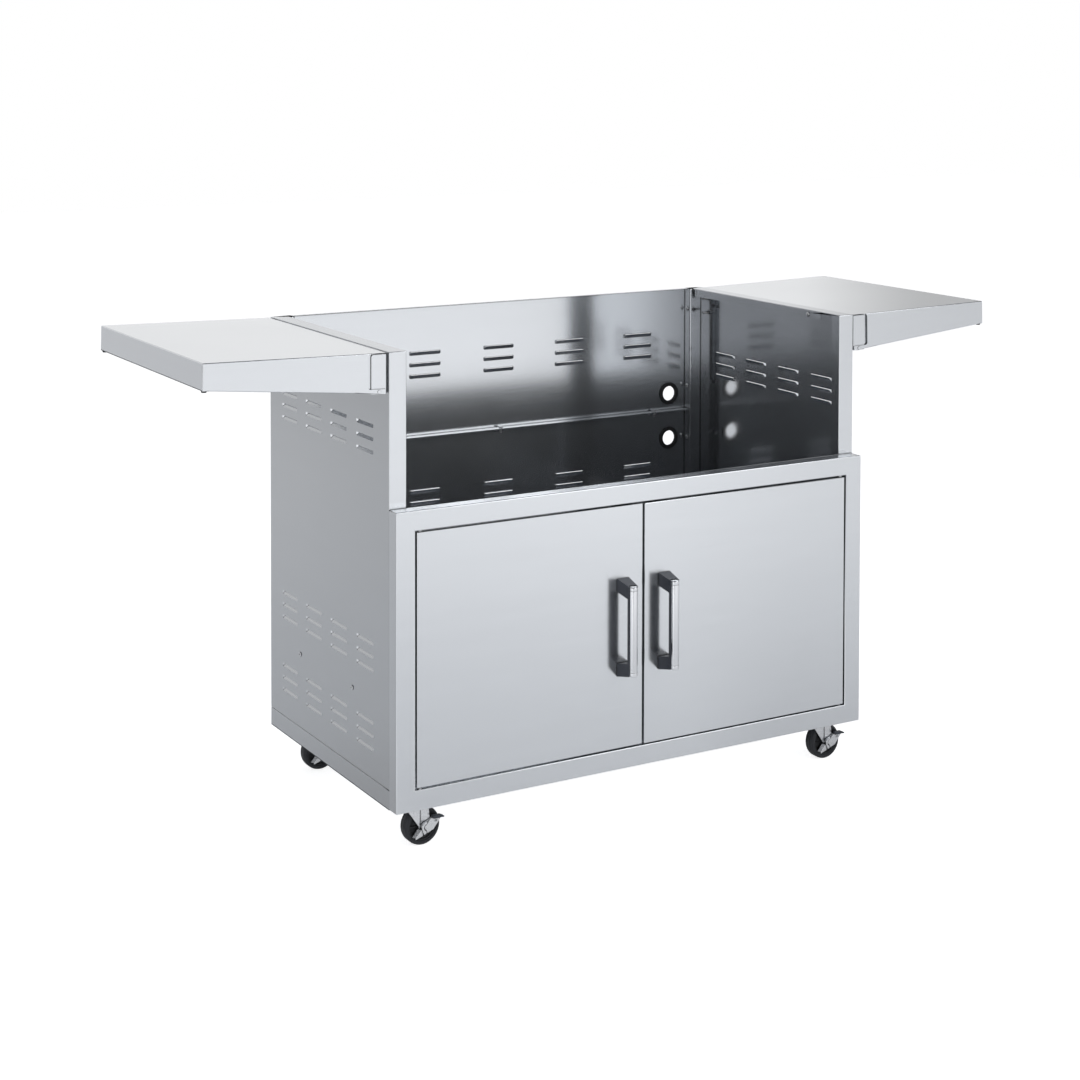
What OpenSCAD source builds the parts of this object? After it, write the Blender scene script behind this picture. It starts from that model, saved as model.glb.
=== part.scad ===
// Stainless grill cart: an open-topped cabinet that carries a drop-in grill on its side flanges,
// with two inset doors, two fold-down side shelves and four braked swivel casters.
// X runs left to right and is centred, Y runs front to back, Z is up and the floor is at 0.
// Depths are first measured back from the face frame's front plane, then at_origin() centres the cart.

/* [Cabinet] */
// Width over the two side panels
cart_w = 1055; // [960:1:1150]
// Depth from the face frame's front to the back panel's outer face
cart_d = 582; // [540:1:640]
// Height of the side flanges that carry the grill
cart_h = 920; // [890:1:960]
// Height of the cabinet's lower edge above the floor
cart_lift = 86; // [84:1:100]
// Thickness of the folded sheet
sheet = 1.2; // [0.8:0.1:1.6]
// Width of the flanges folded in along each side panel
flange_w = 35; // [28:1:40]
// Depth of the lip turned down from each top flange
lip_h = 15.5; // [10:0.5:22]
// Distance from the post's face to the front end of that lip
lip_start = 62; // [45:1:90]
// Depth of the return folded back from each front post
post_return = 25; // [15:1:35]
// Height of the base pan's skirt
pan_h = 35.4; // [33:0.2:45]
// Height of the joint between the two back panels above the floor
seam_z = 646; // [625:1:665]
// Depth of the two flanges that meet at that joint
seam_w = 22; // [16:1:28]
// Depth of the fold along the back panel's upper edge
back_fold = 12; // [8:1:18]
// Width of the fold along each side panel's lower edge
foot_fold = 18; // [12:1:22]
// Width of the flange folded in along each side panel's back edge
rear_flange_w = 44; // [42:1:50]
// Depth of the return folded forward from that flange
rear_return = 20; // [17:1:26]
// Width of the lip folded out along that return's front
rear_lip = 5; // [0:0.5:8]
// Depth of the return folded forward along each side of a back panel
back_return = 18; // [15:1:24]

/* [Face frame] */
// Height of the face frame
frame_h = 548; // [520:1:570]
// Depth of the face frame
frame_t = 29; // [26:1:34]
// Width of the frame's upright stiles
stile_w = 38.5; // [36:0.5:46]
// Height of the frame's top rail
top_rail_h = 37; // [30:0.5:46]
// Height of the frame's bottom rail
bottom_rail_h = 38; // [37:0.5:46]

/* [Doors] */
// Thickness of a door
door_t = 18; // [14:0.5:18]
// Gap between a door and the frame
door_gap = 3.5; // [3:0.1:5]
// Gap between the two doors
middle_gap = 4.5; // [3.5:0.1:7]
// Distance of the hinge pin from the door's hinge edge
pivot_in = 8; // [7:0.5:12]
// Distance of the hinge pin behind the door's face
pivot_back = 6; // [5:0.5:7]
// Radius of a door's hinge pins
pivot_r = 3; // [2:0.25:3.5]
// Length of hinge pin inside the door
pivot_len = 10; // [6:1:16]
// Length of a magnetic catch
catch_l = 40; // [30:1:50]
// Height of a magnetic catch
catch_h = 17; // [12:1:22]
// Distance of a catch's middle from the cart's middle
catch_x = 34; // [30:1:60]
// Thickness of the steel strike on a door
strike_t = 0.8; // [0.6:0.1:1]

/* [Handles] */
// Distance of a handle's middle from the cart's middle
handle_x = 47; // [38:1:70]
// Height of a handle's foot above the floor
handle_z = 267; // [220:1:300]
// Length of a handle along the door
handle_h = 188; // [160:1:220]
// Width of a handle's legs on the door
leg_w = 27; // [24:0.5:32]
// Height of each leg on the door
leg_h = 25; // [20:1:30]
// Distance that each leg leans in towards the middle
leg_lean = 8; // [4:0.5:11]
// Diameter of the steel bar
bar_d = 16.5; // [14:0.5:18]
// Distance of the bar's axis from the door
bar_out = 37.5; // [34:0.5:44]
// Height of the bar's end tips
tip_h = 8; // [5:0.5:12]
// Thickness of the shell that wraps the back half of the bar
bar_wall = 1.6; // [1:0.1:2.5]
// Width of the spine behind the bar
spine_w = 11; // [8:0.5:12]
// Depth of the spine behind the bar's axis
spine_d = 12.5; // [10:0.5:14]

/* [Louvres] */
// Length of a louvre
louvre_l = 74; // [50:1:80]
// Height of a louvre
louvre_h = 7.8; // [6:0.1:9]
// Distance that a louvre's upper edge is pressed in
louvre_in = 4.8; // [3:0.1:5.4]
// Radius of a louvre's lower corners
louvre_r = 4; // [2.5:0.5:5]
// Height from one row of louvres to the next
row_pitch = 24.5; // [18:0.5:30]
// Distance between louvre groups on a side panel
side_pitch = 117; // [100:1:125]
// Distance of the first side group's middle from the frame's front
side_first = 131.5; // [115:0.5:150]
// Height of the upper side group's middle row
side_high = 750.5; // [720:0.5:790]
// Height of the middle side group's middle row
side_mid = 348; // [330:1:400]
// Height of the lower side group's middle row
side_low = 201; // [180:1:220]
// Distance between louvre groups on the back
back_pitch = 177.5; // [150:0.5:180]
// Height of the upper back group's middle row
back_high = 796; // [740:1:830]
// Height of the lower back group's middle row
back_low = 502; // [440:1:540]

/* [Hose grommets] */
// Radius of the hole through a grommet
hose_r = 16.5; // [10:0.5:18]
// Radius of the grommet where it passes through the panel
neck_r = 19; // [18.5:0.5:22]
// Radius of the grommet's lips
lip_r = 23; // [22.5:0.5:26]
// Thickness of each lip
grommet_t = 3; // [2:0.5:3]
// Distance of the grommets from the cabinet's right side
hose_in = 88; // [73:0.5:118]
// Height of the upper grommet above the joint of the back panels
hose_up = 37; // [26:1:80]
// Depth of the lower grommet below that joint
hose_down = 64; // [26:1:100]

/* [Side shelves] */
// Length of a shelf out from the cart
shelf_l = 348; // [300:1:400]
// Gap between the cart and a shelf's top edge
shelf_gap = 4; // [3:0.5:6]
// Distance from a post's face back to the shelf's front
shelf_back = 2.7; // [1.5:0.1:5]
// Distance of the shelf's top below the cart's top
shelf_drop = 1; // [0:0.5:3]
// Depth of the shelf's side skirts at the cart
skirt_in = 74.3; // [70:0.1:84]
// Depth of the shelf's skirt at its outer end
skirt_out = 48; // [40:1:60]
// Angle that the open shelf rises away from the cart
shelf_rise = 1.2; // [0:0.1:2]
// Width of the notch at the skirt's inner end
notch_w = 35; // [34:0.5:45]
// Height of the notch
notch_h = 64; // [60:0.5:65]
// Radius of the notch's corners
notch_r = 5; // [2:0.5:8]
// Width of the lips folded in under the skirts
hem_w = 12; // [10:0.5:16]
// Distance of the side lips' inner ends from the shelf's inner edge
hem_start = 60; // [50:1:80]
// Distance of a bumper's middle from the shelf's front and back
bumper_in = 8.5; // [7:0.5:12]
// Distance of the shelf's pivot from the side panel
pivot_x = 18; // [17:0.5:20]
// Height of the shelf's pivot above the skirt's lower edge
pivot_up = 4.6; // [4.4:0.1:5]
// Radius of the shelf's pivot pins
shelf_pin_r = 2.5; // [2:0.1:2.7]
// Thickness of the brackets and hinge arms
bracket_t = 2; // [1.5:0.5:3]
// Distance that a hinge arm reaches past the notch, behind the skirt
arm_lap = 3; // [2:0.5:4]
// Distance that a bracket stands out from the side panel
bracket_w = 33; // [30:0.5:34]
// Gap between a bracket's face and the side panel
bracket_gap = 4; // [3:0.5:5]
// Depth of a bracket behind its face to the step that meets the side panel
bracket_step = 10; // [8:1:14]
// Length of a bracket's flange along the side panel
bracket_l = 40; // [38:1:60]
// Radius of a hinge arm's rounded end
arm_r = 6; // [5.5:0.5:8]
// Width of the channel under a shelf
rib_w = 60; // [40:1:90]
// Depth of that channel
rib_h = 14; // [8:1:20]
// Radius of the rubber bumpers
bumper_r = 5; // [3.5:0.5:5]
// Height of the rubber bumpers
bumper_h = 3.5; // [2:0.5:4]

/* [Casters] */
// Diameter of a wheel
wheel_d = 72; // [66:1:74]
// Width of the tyre
wheel_w = 24; // [20:1:26]
// Radius of the hub that carries the tyre
hub_r = 27; // [22:0.5:29]
// Distance of a caster's swivel axis from the side
caster_x = 63; // [60:1:75]
// Distance of a caster's swivel axis from the front and back
caster_y = 61; // [60:1:75]
// Distance of the wheel's axle from the swivel axis
trail = 15; // [10:1:17]
// Width of a caster's top plate
plate_w = 58; // [54:1:60]
// Thickness of the top plate
plate_t = 2.5; // [2:0.5:3]
// Depth of the ball race under the plate
race_h = 4; // [3:0.5:5]
// Radius of the ball race
race_r = 22; // [18:1:25]
// Thickness of the fork's sheet
fork_t = 2.5; // [2:0.5:3]
// Gap between the tyre and a fork leg
fork_gap = 2; // [1.5:0.5:3]
// Distance of a fork's front edge from the swivel axis
crown_front = 24; // [20:1:25]
// Distance of the crown's rear edge from the swivel axis
crown_rear = 21; // [17:1:24]
// Height above the axle at which a fork leg's front edge starts to slope
fork_taper = 43; // [34:1:48]
// Height above the axle at which its rear edge reaches furthest
fork_bulge_up = 10.7; // [7:0.1:16]
// How far that edge stands out there past the leg's lower end
fork_bulge = 2.7; // [0:0.1:4]
// Distance of the crease in each fork leg before the axle
crease_in = 7.5; // [5:0.5:9]
// Width of that crease
crease_w = 3; // [2:0.5:5]
// Depth of that crease
crease_d = 1.4; // [0.8:0.1:1.6]
// Radius of the fork leg's lower end
fork_r = 10; // [8:0.5:12]
// Radius of the axle
axle_r = 4; // [3:0.25:5]
// Radius of the swivel's rivet
rivet_r = 5; // [4:0.5:7]
// Thickness of the brake lever
lever_t = 2; // [1.5:0.5:2.5]
// Reach of the brake pedal from the axle
pedal_l = 31; // [27:1:34]
// Height of the brake pedal above the axle
pedal_h = 17; // [14:0.5:20]
// Depth of the brake pedal's pad
pedal_d = 10; // [6:0.5:14]
// Reach of the lever's tail from the axle
tail_l = 26; // [22:1:30]

/* [Rails and fasteners] */
// Depth of the channels that carry the casters
rail_h = 15; // [12:0.5:17]
// Width between a channel's webs
rail_w = 64; // [62:1:72]
// Width of each channel's feet
rail_foot = 12; // [8:1:14]
// Thickness of the channels
rail_t = 1.5; // [1:0.1:2]
// Radius of the small screws
screw_r = 2.4; // [2:0.1:3]
// Radius of the small screws' heads
head_r = 4.6; // [4:0.1:5.5]
// Height of the small screws' heads
head_h = 2.4; // [1.5:0.1:3]
// Radius of the caster bolts
bolt_r = 3; // [2.5:0.1:3.5]
// Distance of a caster bolt from the plate's edge
bolt_in = 8; // [7:0.5:10]
// Height of the inner rails' screws above the floor
inner_rail_z = 268; // [258:1:276]
// Distance of the inner rails' front screw from the frame's front
inner_rail_front = 188; // [170:1:200]
// Distance between the inner rails' two screws
inner_rail_l = 243; // [200:1:260]
// Height of an inner rail
inner_rail_h = 34; // [24:1:40]
// Width of an inner rail's top flange
inner_rail_w = 24; // [12:1:30]
// Distance of the back's outer screws from the cart's middle, along the seam
seam_screw_x = 394; // [330:1:400]
// Distance of the rear returns' screws from the back panel
rear_screw_out = 11.3; // [8:0.1:13]
// Distance of the rear returns' screws from the back's upper and lower ends
rear_screw_end = 46; // [30:1:60]
// Height of the screws above the seam
rear_screw_up = 53; // [30:1:80]
// Depth of the screws below the seam
rear_screw_down = 64; // [30:1:80]
// Distance of the top lip's screw from the lip's front end
lip_screw_back = 43; // [20:1:60]
// Distance of a bracket's bolts from its upper and lower ends
bracket_bolt_in = 20; // [14:1:24]
// Distance of a bracket's bolts behind its face
bracket_bolt_back = 28.5; // [9:0.5:30]
// Length of a small nut
nut_t = 3.4; // [2.4:0.1:4]
// Length of thread past a small nut
screw_end = 5; // [1:0.5:6]
// Length of thread past the nut of a bracket bolt
bracket_bolt_end = 14; // [4:1:20]
// Length of thread past the nut of a caster bolt
bolt_end = 1; // [0.5:0.5:4]

/* [Hidden] */
$fn = 48;

steel = "#c9ccd0";
dark_steel = "#a4a8ae";
zinc = "#c3c6c9";
rubber = "#1b1c20";
plastic = "#3b3e45";

// Fits: a shaft turning in a hole, a screw in its hole, and the gap beside a moving face
run_fit = 0.05;
hole_fit = 0.25;
side_fit = 0.3;
// How far a cut runs past a face
cut = 1;

// Planes of the cabinet
half_w = cart_w / 2;
post_y = frame_t;
back_y = cart_d - sheet;
pan_top = cart_lift + pan_h;
pan_under = pan_top - sheet;
frame_top = cart_lift + frame_h;
opening_x = half_w - stile_w;
opening_low = cart_lift + bottom_rail_h;
opening_high = frame_top - top_rail_h;
bar_front = bar_out + bar_d / 2;
centre_y = (cart_d + grommet_t - bar_front) / 2;
seam_x = half_w - rear_flange_w;
seam_in = seam_x - sheet;
hose_x = half_w - hose_in;
hose_high = seam_z + hose_up;
hose_low = seam_z - hose_down;

// Doors
door_x0 = middle_gap / 2;
door_x1 = opening_x - door_gap;
door_z0 = opening_low + door_gap;
door_z1 = opening_high - door_gap;
pin_x = door_x1 - pivot_in;
washer_t = door_gap / 2;
washer_r = pivot_back - sheet - side_fit;

// Handle shell, and its heights on the door and at the bar
shell_r = bar_d / 2 + bar_wall;
handle_top = handle_z + handle_h;
bar_z0 = handle_z + leg_lean;
bar_z1 = handle_top - leg_lean;

// Shelf, drawn level and then raised about its pivot
shelf_z = cart_h - shelf_drop;
fold_x = half_w + pivot_x;
fold_z = shelf_z - skirt_in + pivot_up;
shelf_x0 = half_w + shelf_gap + (shelf_z - fold_z) * sin(shelf_rise);
shelf_x1 = shelf_x0 + shelf_l;
shelf_y0 = post_y + shelf_back;
shelf_y1 = cart_d;
skirt_low = shelf_z - skirt_in;
end_low = shelf_z - skirt_out;
notch_low = skirt_low + 2 * pivot_up;
notch_high = min(notch_low + notch_h, shelf_z - sheet);
// The shelf's top sheet swings past the bracket's rounded corner as it folds down
swing_r = shelf_z - sheet - fold_z - side_fit - notch_r;
bracket_top = fold_z + notch_r + sqrt(pow(swing_r, 2) - pow(bracket_w - notch_r - pivot_x, 2));
bracket_low = skirt_low + side_fit;
bracket_f = shelf_y0 + sheet + side_fit;
bracket_b = shelf_y1 - sheet - side_fit;
arm_f = bracket_f + bracket_t + side_fit;
pin_cap_t = 0.6;
pin_cap_r = shelf_pin_r * 1.3;

// Casters: the stack from the rail down to the floor
axle_z = wheel_d / 2;
rail_low = pan_under - rail_h;
plate_low = rail_low - plate_t;
race_low = plate_low - race_h;
crown_top = race_low - side_fit;
crown_low = crown_top - fork_t;
rivet_head_h = 3;
rivet_head_r = rivet_r * 1.7;
bolt_head_r = bolt_r * 1.8;
leg_in = wheel_w / 2 + fork_gap;
leg_out = leg_in + fork_t;
fork_heel = fork_r * 0.92;
hub_side = leg_in - fork_gap / 2;
lever_in = leg_out + side_fit;
lever_out = lever_in + lever_t;
nut_in = lever_out + side_fit;
nut_h = 4;
nut_r = axle_r * 1.6;
cup_h = 3;
cup_r = nut_r + side_fit + 2;
axle_end = 1;
hub_rim = wheel_w / 2 - 2;
boss_wall = 6;
rim_wall = 2;
bead_w = 1.5;
tread_round = 4;
pad_in = pedal_l * 0.3;
caster_ends = [caster_y, cart_d - caster_y];

// How far the sloping sheet of a louvre reaches along the panel's thickness
blade_x = sheet * sqrt(1 + pow(louvre_in / louvre_h, 2));

// Louvre places, with the middle of each group's rows
side_cols = [for (i = [0:3]) side_first + i * side_pitch];
side_rows = [for (m = [side_high, side_mid, side_low], k = [-1:1]) m + k * row_pitch];
back_cols = [for (i = [-2:2]) i * back_pitch];
upper_rows = [for (k = [-1:1]) back_high + k * row_pitch];
lower_rows = [for (k = [-1:1]) back_low + k * row_pitch];

// Screw places
rear_screw_y = back_y - rear_screw_out;
lip_screw_y = post_y + lip_start + lip_screw_back;
lip_screw_z = cart_h - sheet - lip_h / 2;
lowest_screw_z = pan_top + rear_screw_end;
below_seam_z = seam_z - rear_screw_down;
back_screws_z = [
  lowest_screw_z, (lowest_screw_z + below_seam_z) / 2, below_seam_z,
  seam_z + rear_screw_up, cart_h - rear_screw_end
];
bracket_bolts_z = [bracket_low + bracket_bolt_in, bracket_top - bracket_bolt_in];
bracket_bolt_y = bracket_t + bracket_bolt_back;
inner_screws_y = [inner_rail_front, inner_rail_front + inner_rail_l];

// Helpers

module at_origin() {
  translate([0, -centre_y, 0]) children();
}

module on_side(side) {
  mirror([side < 0 ? 1 : 0, 0, 0]) children();
}

module block(low, high) {
  translate(low) cube(high - low);
}

// Extrudes a drawing of X and Z from y0 to y1
module along_y(y0, y1) {
  translate([0, y1, 0]) rotate([90, 0, 0]) linear_extrude(y1 - y0) children();
}

// Extrudes a drawing of Y and Z from x0 to x1
module along_x(x0, x1) {
  translate([x0, 0, 0]) rotate([90, 0, 90]) linear_extrude(x1 - x0) children();
}

// Extrudes a drawing of X and Y from z0 to z1
module along_z(z0, z1) {
  translate([0, 0, z0]) linear_extrude(z1 - z0) children();
}

module rod_x(x0, x1, r) {
  translate([x0, 0, 0]) rotate([0, 90, 0]) cylinder(h = x1 - x0, r = r);
}

module rod_y(y0, y1, r) {
  translate([0, y1, 0]) rotate([90, 0, 0]) cylinder(h = y1 - y0, r = r);
}

module rod_z(z0, z1, r) {
  translate([0, 0, z0]) cylinder(h = z1 - z0, r = r);
}

// Louvres: the panel's outer face is X = 0 and its inside lies along -X. Below a level cut the sheet
// is pressed in, so that the slot opens upwards inside and rain runs off the slope outside.

module louvre_outline(inset) {
  r = louvre_r - inset;
  side = louvre_l / 2 - louvre_r;
  translate([-side - r, louvre_r - louvre_h]) square([2 * (side + r), louvre_h - louvre_r]);
  translate([-side, inset - louvre_h]) square([2 * side, louvre_h - inset]);
  for (y = [-side, side]) {
    translate([y, louvre_r - louvre_h]) circle(r = r);
  }
}

// Every louvre of a panel, from its outline's inset, its profile of X and Z, and its plan of X and Y
module louvres(cols, rows, inset, profile, plan) {
  for (c = cols, z = rows) {
    translate([0, c, z + louvre_h / 2]) intersection() {
      along_x(-louvre_in - 2 * sheet, cut) louvre_outline(inset);
      along_y(-louvre_l, louvre_l) polygon(profile);
      along_z(-louvre_h - cut, cut) polygon(plan);
    }
  }
}

module louvred(cols, rows) {
  pressed = [[0, -louvre_h], [-sheet, -louvre_h], [-sheet - louvre_in, 0], [0, 0]];
  hollow = [[cut, -louvre_h], [blade_x - sheet, -louvre_h], [blade_x - sheet - louvre_in, 0], [cut, 0]];
  // The ends slope at 45 degrees: the hollow's lie a sheet's thickness behind the pressed shape's
  deep = sheet + louvre_in;
  end = louvre_l / 2;
  end_in = sheet * (sqrt(2) - 1);
  hollow_end = end - end_in;
  pressed_plan = [
    [0, -end], [0, end], [-sheet, end], [-deep, end - louvre_in], [-deep, louvre_in - end], [-sheet, -end]
  ];
  hollow_plan = [
    [cut, -hollow_end - cut], [cut, hollow_end + cut], [-deep, hollow_end - deep], [-deep, deep - hollow_end]
  ];
  difference() {
    union() {
      children();
      louvres(cols, rows, 0, pressed, pressed_plan);
    }
    louvres(cols, rows, end_in, hollow, hollow_plan);
  }
}

// Cabinet

module side_panel(side) {
  color(steel) at_origin() on_side(side) difference() {
    union() {
      translate([half_w, 0, 0]) louvred(side_cols, side_rows)
        block([-sheet, post_y, pan_top], [0, cart_d, cart_h]);
      block([half_w - flange_w, post_y, pan_top], [half_w, post_y + sheet, cart_h]);
      block([half_w - flange_w, post_y, pan_top], [half_w - flange_w + sheet, post_y + post_return, cart_h]);
      block([half_w - flange_w, post_y, cart_h - sheet], [half_w, cart_d, cart_h]);
      block([half_w - flange_w, post_y + lip_start, cart_h - sheet - lip_h],
            [half_w - flange_w + sheet, cart_d, cart_h]);
      block([seam_x, back_y, pan_top], [half_w, cart_d, cart_h]);
      block([seam_x, back_y - rear_return, pan_top], [seam_x + sheet, cart_d, cart_h]);
      block([seam_x, back_y - rear_return, pan_top],
            [seam_x + rear_lip, back_y - rear_return + sheet, cart_h]);
      block([half_w - foot_fold, post_y + post_return, pan_top], [half_w, cart_d, pan_top + sheet]);
    }
    translate([0, lip_screw_y, lip_screw_z])
      rod_x(half_w - flange_w - cut, half_w - flange_w + sheet + cut, screw_r + hole_fit);
    for (z = back_screws_z) {
      translate([0, rear_screw_y, z]) rod_x(seam_x - cut, seam_x + sheet + cut, screw_r + hole_fit);
    }
    for (y = inner_screws_y) {
      translate([0, y, inner_rail_z]) rod_x(half_w - sheet - cut, half_w + cut, screw_r + hole_fit);
    }
    for (y = [bracket_f + bracket_bolt_y, bracket_b - bracket_bolt_y], z = bracket_bolts_z) {
      translate([0, y, z]) rod_x(half_w - sheet - cut, half_w + cut, screw_r + hole_fit);
    }
  }
}

// A back panel between the side panels' returns, with its louvres and its own two returns
module back_sheet(z0, z1, rows) {
  translate([0, cart_d, 0]) rotate([0, 0, 90]) louvred(back_cols, rows)
    block([-sheet, -seam_x, z0], [0, seam_x, z1]);
  for (side = [-1, 1]) {
    on_side(side) block([seam_in, back_y - back_return, z0], [seam_x, cart_d, z1]);
  }
}

module hose_hole(z) {
  translate([hose_x, 0, z]) rod_y(back_y - cut, cart_d + cut, neck_r + hole_fit);
}

module return_holes(z0, z1) {
  for (side = [-1, 1], z = back_screws_z) {
    if (z > z0 && z < z1) {
      on_side(side) translate([0, rear_screw_y, z]) rod_x(seam_in - cut, seam_x + cut, screw_r + hole_fit);
    }
  }
}

module seam_holes(z0, z1) {
  for (x = [-seam_screw_x, 0, seam_screw_x]) {
    translate([x, back_y - seam_w / 2, 0]) rod_z(z0 - cut, z1 + cut, screw_r + hole_fit);
  }
}

module upper_back_panel() {
  color(steel) at_origin() difference() {
    union() {
      back_sheet(seam_z, cart_h, upper_rows);
      block([-seam_in, back_y - seam_w, seam_z], [seam_in, back_y, seam_z + sheet]);
      block([-seam_in, back_y - back_fold, cart_h - sheet], [seam_in, back_y, cart_h]);
    }
    hose_hole(hose_high);
    return_holes(seam_z, cart_h);
    seam_holes(seam_z, seam_z + sheet);
  }
}

module lower_back_panel() {
  color(steel) at_origin() difference() {
    union() {
      back_sheet(pan_top, seam_z, lower_rows);
      block([-seam_in, back_y - seam_w, seam_z - sheet], [seam_in, back_y, seam_z]);
    }
    hose_hole(hose_low);
    return_holes(pan_top, seam_z);
    seam_holes(seam_z - sheet, seam_z);
  }
}

module base_pan() {
  color(steel) at_origin() difference() {
    block([-half_w, post_y, cart_lift], [half_w, cart_d, pan_top]);
    block([sheet - half_w, post_y + sheet, cart_lift - cut], [half_w - sheet, back_y, pan_under]);
  }
}

module front_frame() {
  color(steel) at_origin() difference() {
    block([-half_w, 0, cart_lift], [half_w, frame_t, frame_top]);
    // The hollow behind the face, between the outer returns and the returns round the doors
    difference() {
      block([sheet - half_w, sheet, cart_lift + sheet], [half_w - sheet, frame_t + cut, frame_top - sheet]);
      block([-opening_x - sheet, 0, opening_low - sheet],
            [opening_x + sheet, frame_t + cut, opening_high + sheet]);
    }
    block([-opening_x, -cut, opening_low], [opening_x, frame_t + cut, opening_high]);
    for (side = [-1, 1], z = [opening_low - sheet, opening_high]) {
      translate([side * pin_x, pivot_back, 0]) rod_z(z - cut, z + sheet + cut, pivot_r + hole_fit);
    }
  }
}

module hose_grommets() {
  color(rubber) at_origin() for (z = [hose_low, hose_high]) {
    translate([hose_x, 0, z]) difference() {
      union() {
        rod_y(back_y - grommet_t, back_y, lip_r);
        rod_y(back_y - grommet_t, cart_d + grommet_t, neck_r);
        rod_y(cart_d, cart_d + grommet_t, lip_r);
      }
      rod_y(back_y - grommet_t - cut, cart_d + grommet_t + cut, hose_r);
    }
  }
}

// Rails inside the cabinet that steady the gas bottle
module inner_rails() {
  rail_x = half_w - sheet;
  rail_top = inner_rail_z + inner_rail_h / 2;
  y0 = inner_rail_front - inner_rail_h / 2;
  y1 = inner_rail_front + inner_rail_l + inner_rail_h / 2;
  color(dark_steel) at_origin() for (side = [-1, 1]) on_side(side) difference() {
    union() {
      block([rail_x - sheet, y0, rail_top - inner_rail_h], [rail_x, y1, rail_top]);
      block([rail_x - inner_rail_w, y0, rail_top - sheet], [rail_x, y1, rail_top]);
    }
    for (y = inner_screws_y) {
      translate([0, y, inner_rail_z]) rod_x(rail_x - sheet - cut, rail_x + cut, screw_r + hole_fit);
    }
  }
}

// A screw along +X with its head's underside at x = 0, through a stack of the given thickness, with
// its nut and the length of thread past the nut
module screw_x(stack, tail) {
  rod_x(0, head_h, head_r);
  rod_x(-stack - nut_t - tail, 0, screw_r);
  translate([-stack - nut_t, 0, 0]) rotate([0, 90, 0]) cylinder(h = nut_t, r = head_r, $fn = 6);
}

module side_screws() {
  color(zinc) at_origin() for (side = [-1, 1]) on_side(side) {
    for (y = inner_screws_y) {
      translate([half_w, y, inner_rail_z]) screw_x(2 * sheet, screw_end);
    }
    translate([half_w - flange_w, lip_screw_y, lip_screw_z]) mirror([1, 0, 0]) screw_x(sheet, screw_end);
  }
}

module back_screws() {
  color(zinc) at_origin() {
    for (side = [-1, 1], z = back_screws_z) {
      on_side(side) translate([seam_in, rear_screw_y, z]) mirror([1, 0, 0]) screw_x(2 * sheet, screw_end);
    }
    for (x = [-seam_screw_x, 0, seam_screw_x]) {
      translate([x, back_y - seam_w / 2, seam_z + sheet]) rotate([0, -90, 0]) screw_x(2 * sheet, screw_end);
    }
  }
}

// Casters' carriers

module each_caster() {
  for (side = [-1, 1], y = caster_ends) {
    translate([side * (half_w - caster_x), y, 0]) children();
  }
}

module bolt_places() {
  reach = plate_w / 2 - bolt_in;
  for (x = [-reach, reach], y = [-reach, reach]) {
    translate([x, y, 0]) children();
  }
}

// The section of a channel with two feet, hung from a sheet whose underside is at z = 0
module channel_section(width, depth) {
  web = width / 2;
  foot = web + rail_foot;
  polygon([
    [-web, -depth], [web, -depth], [web, -rail_t], [foot, -rail_t], [foot, 0], [web - rail_t, 0],
    [web - rail_t, rail_t - depth], [rail_t - web, rail_t - depth], [rail_t - web, 0], [-foot, 0],
    [-foot, -rail_t], [-web, -rail_t]
  ]);
}

module caster_rails() {
  color(dark_steel) at_origin() difference() {
    for (side = [-1, 1]) {
      translate([side * (half_w - caster_x), 0, pan_under])
        along_y(post_y + sheet, back_y) channel_section(rail_w, rail_h);
    }
    each_caster() bolt_places() rod_z(rail_low - cut, rail_low + rail_t + cut, bolt_r + hole_fit);
  }
}

module caster_plates() {
  color(zinc) at_origin() each_caster() difference() {
    union() {
      block([-plate_w / 2, -plate_w / 2, plate_low], [plate_w / 2, plate_w / 2, rail_low]);
      rod_z(race_low, plate_low, race_r);
      rod_z(crown_low - side_fit, race_low, rivet_r);
      rod_z(crown_low - side_fit - rivet_head_h, crown_low - side_fit, rivet_head_r);
    }
    bolt_places() rod_z(plate_low - cut, rail_low + cut, bolt_r + hole_fit);
  }
}

module caster_bolts() {
  color(zinc) at_origin() each_caster() bolt_places() {
    translate([0, 0, plate_low - bolt_r]) cylinder(h = bolt_r, r = bolt_head_r, $fn = 6);
    rod_z(plate_low, rail_low + rail_t + bolt_r + bolt_end, bolt_r);
    translate([0, 0, rail_low + rail_t]) cylinder(h = bolt_r, r = bolt_head_r, $fn = 6);
  }
}

// Shelf brackets on the cabinet

module bracket_face() {
  translate([half_w, bracket_low]) {
    translate([bracket_gap, 0]) {
      square([bracket_w - bracket_gap - notch_r, bracket_top - bracket_low]);
      square([bracket_w - bracket_gap, bracket_top - bracket_low - notch_r]);
    }
    translate([bracket_w - notch_r, bracket_top - bracket_low - notch_r]) circle(r = notch_r);
  }
}

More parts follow.
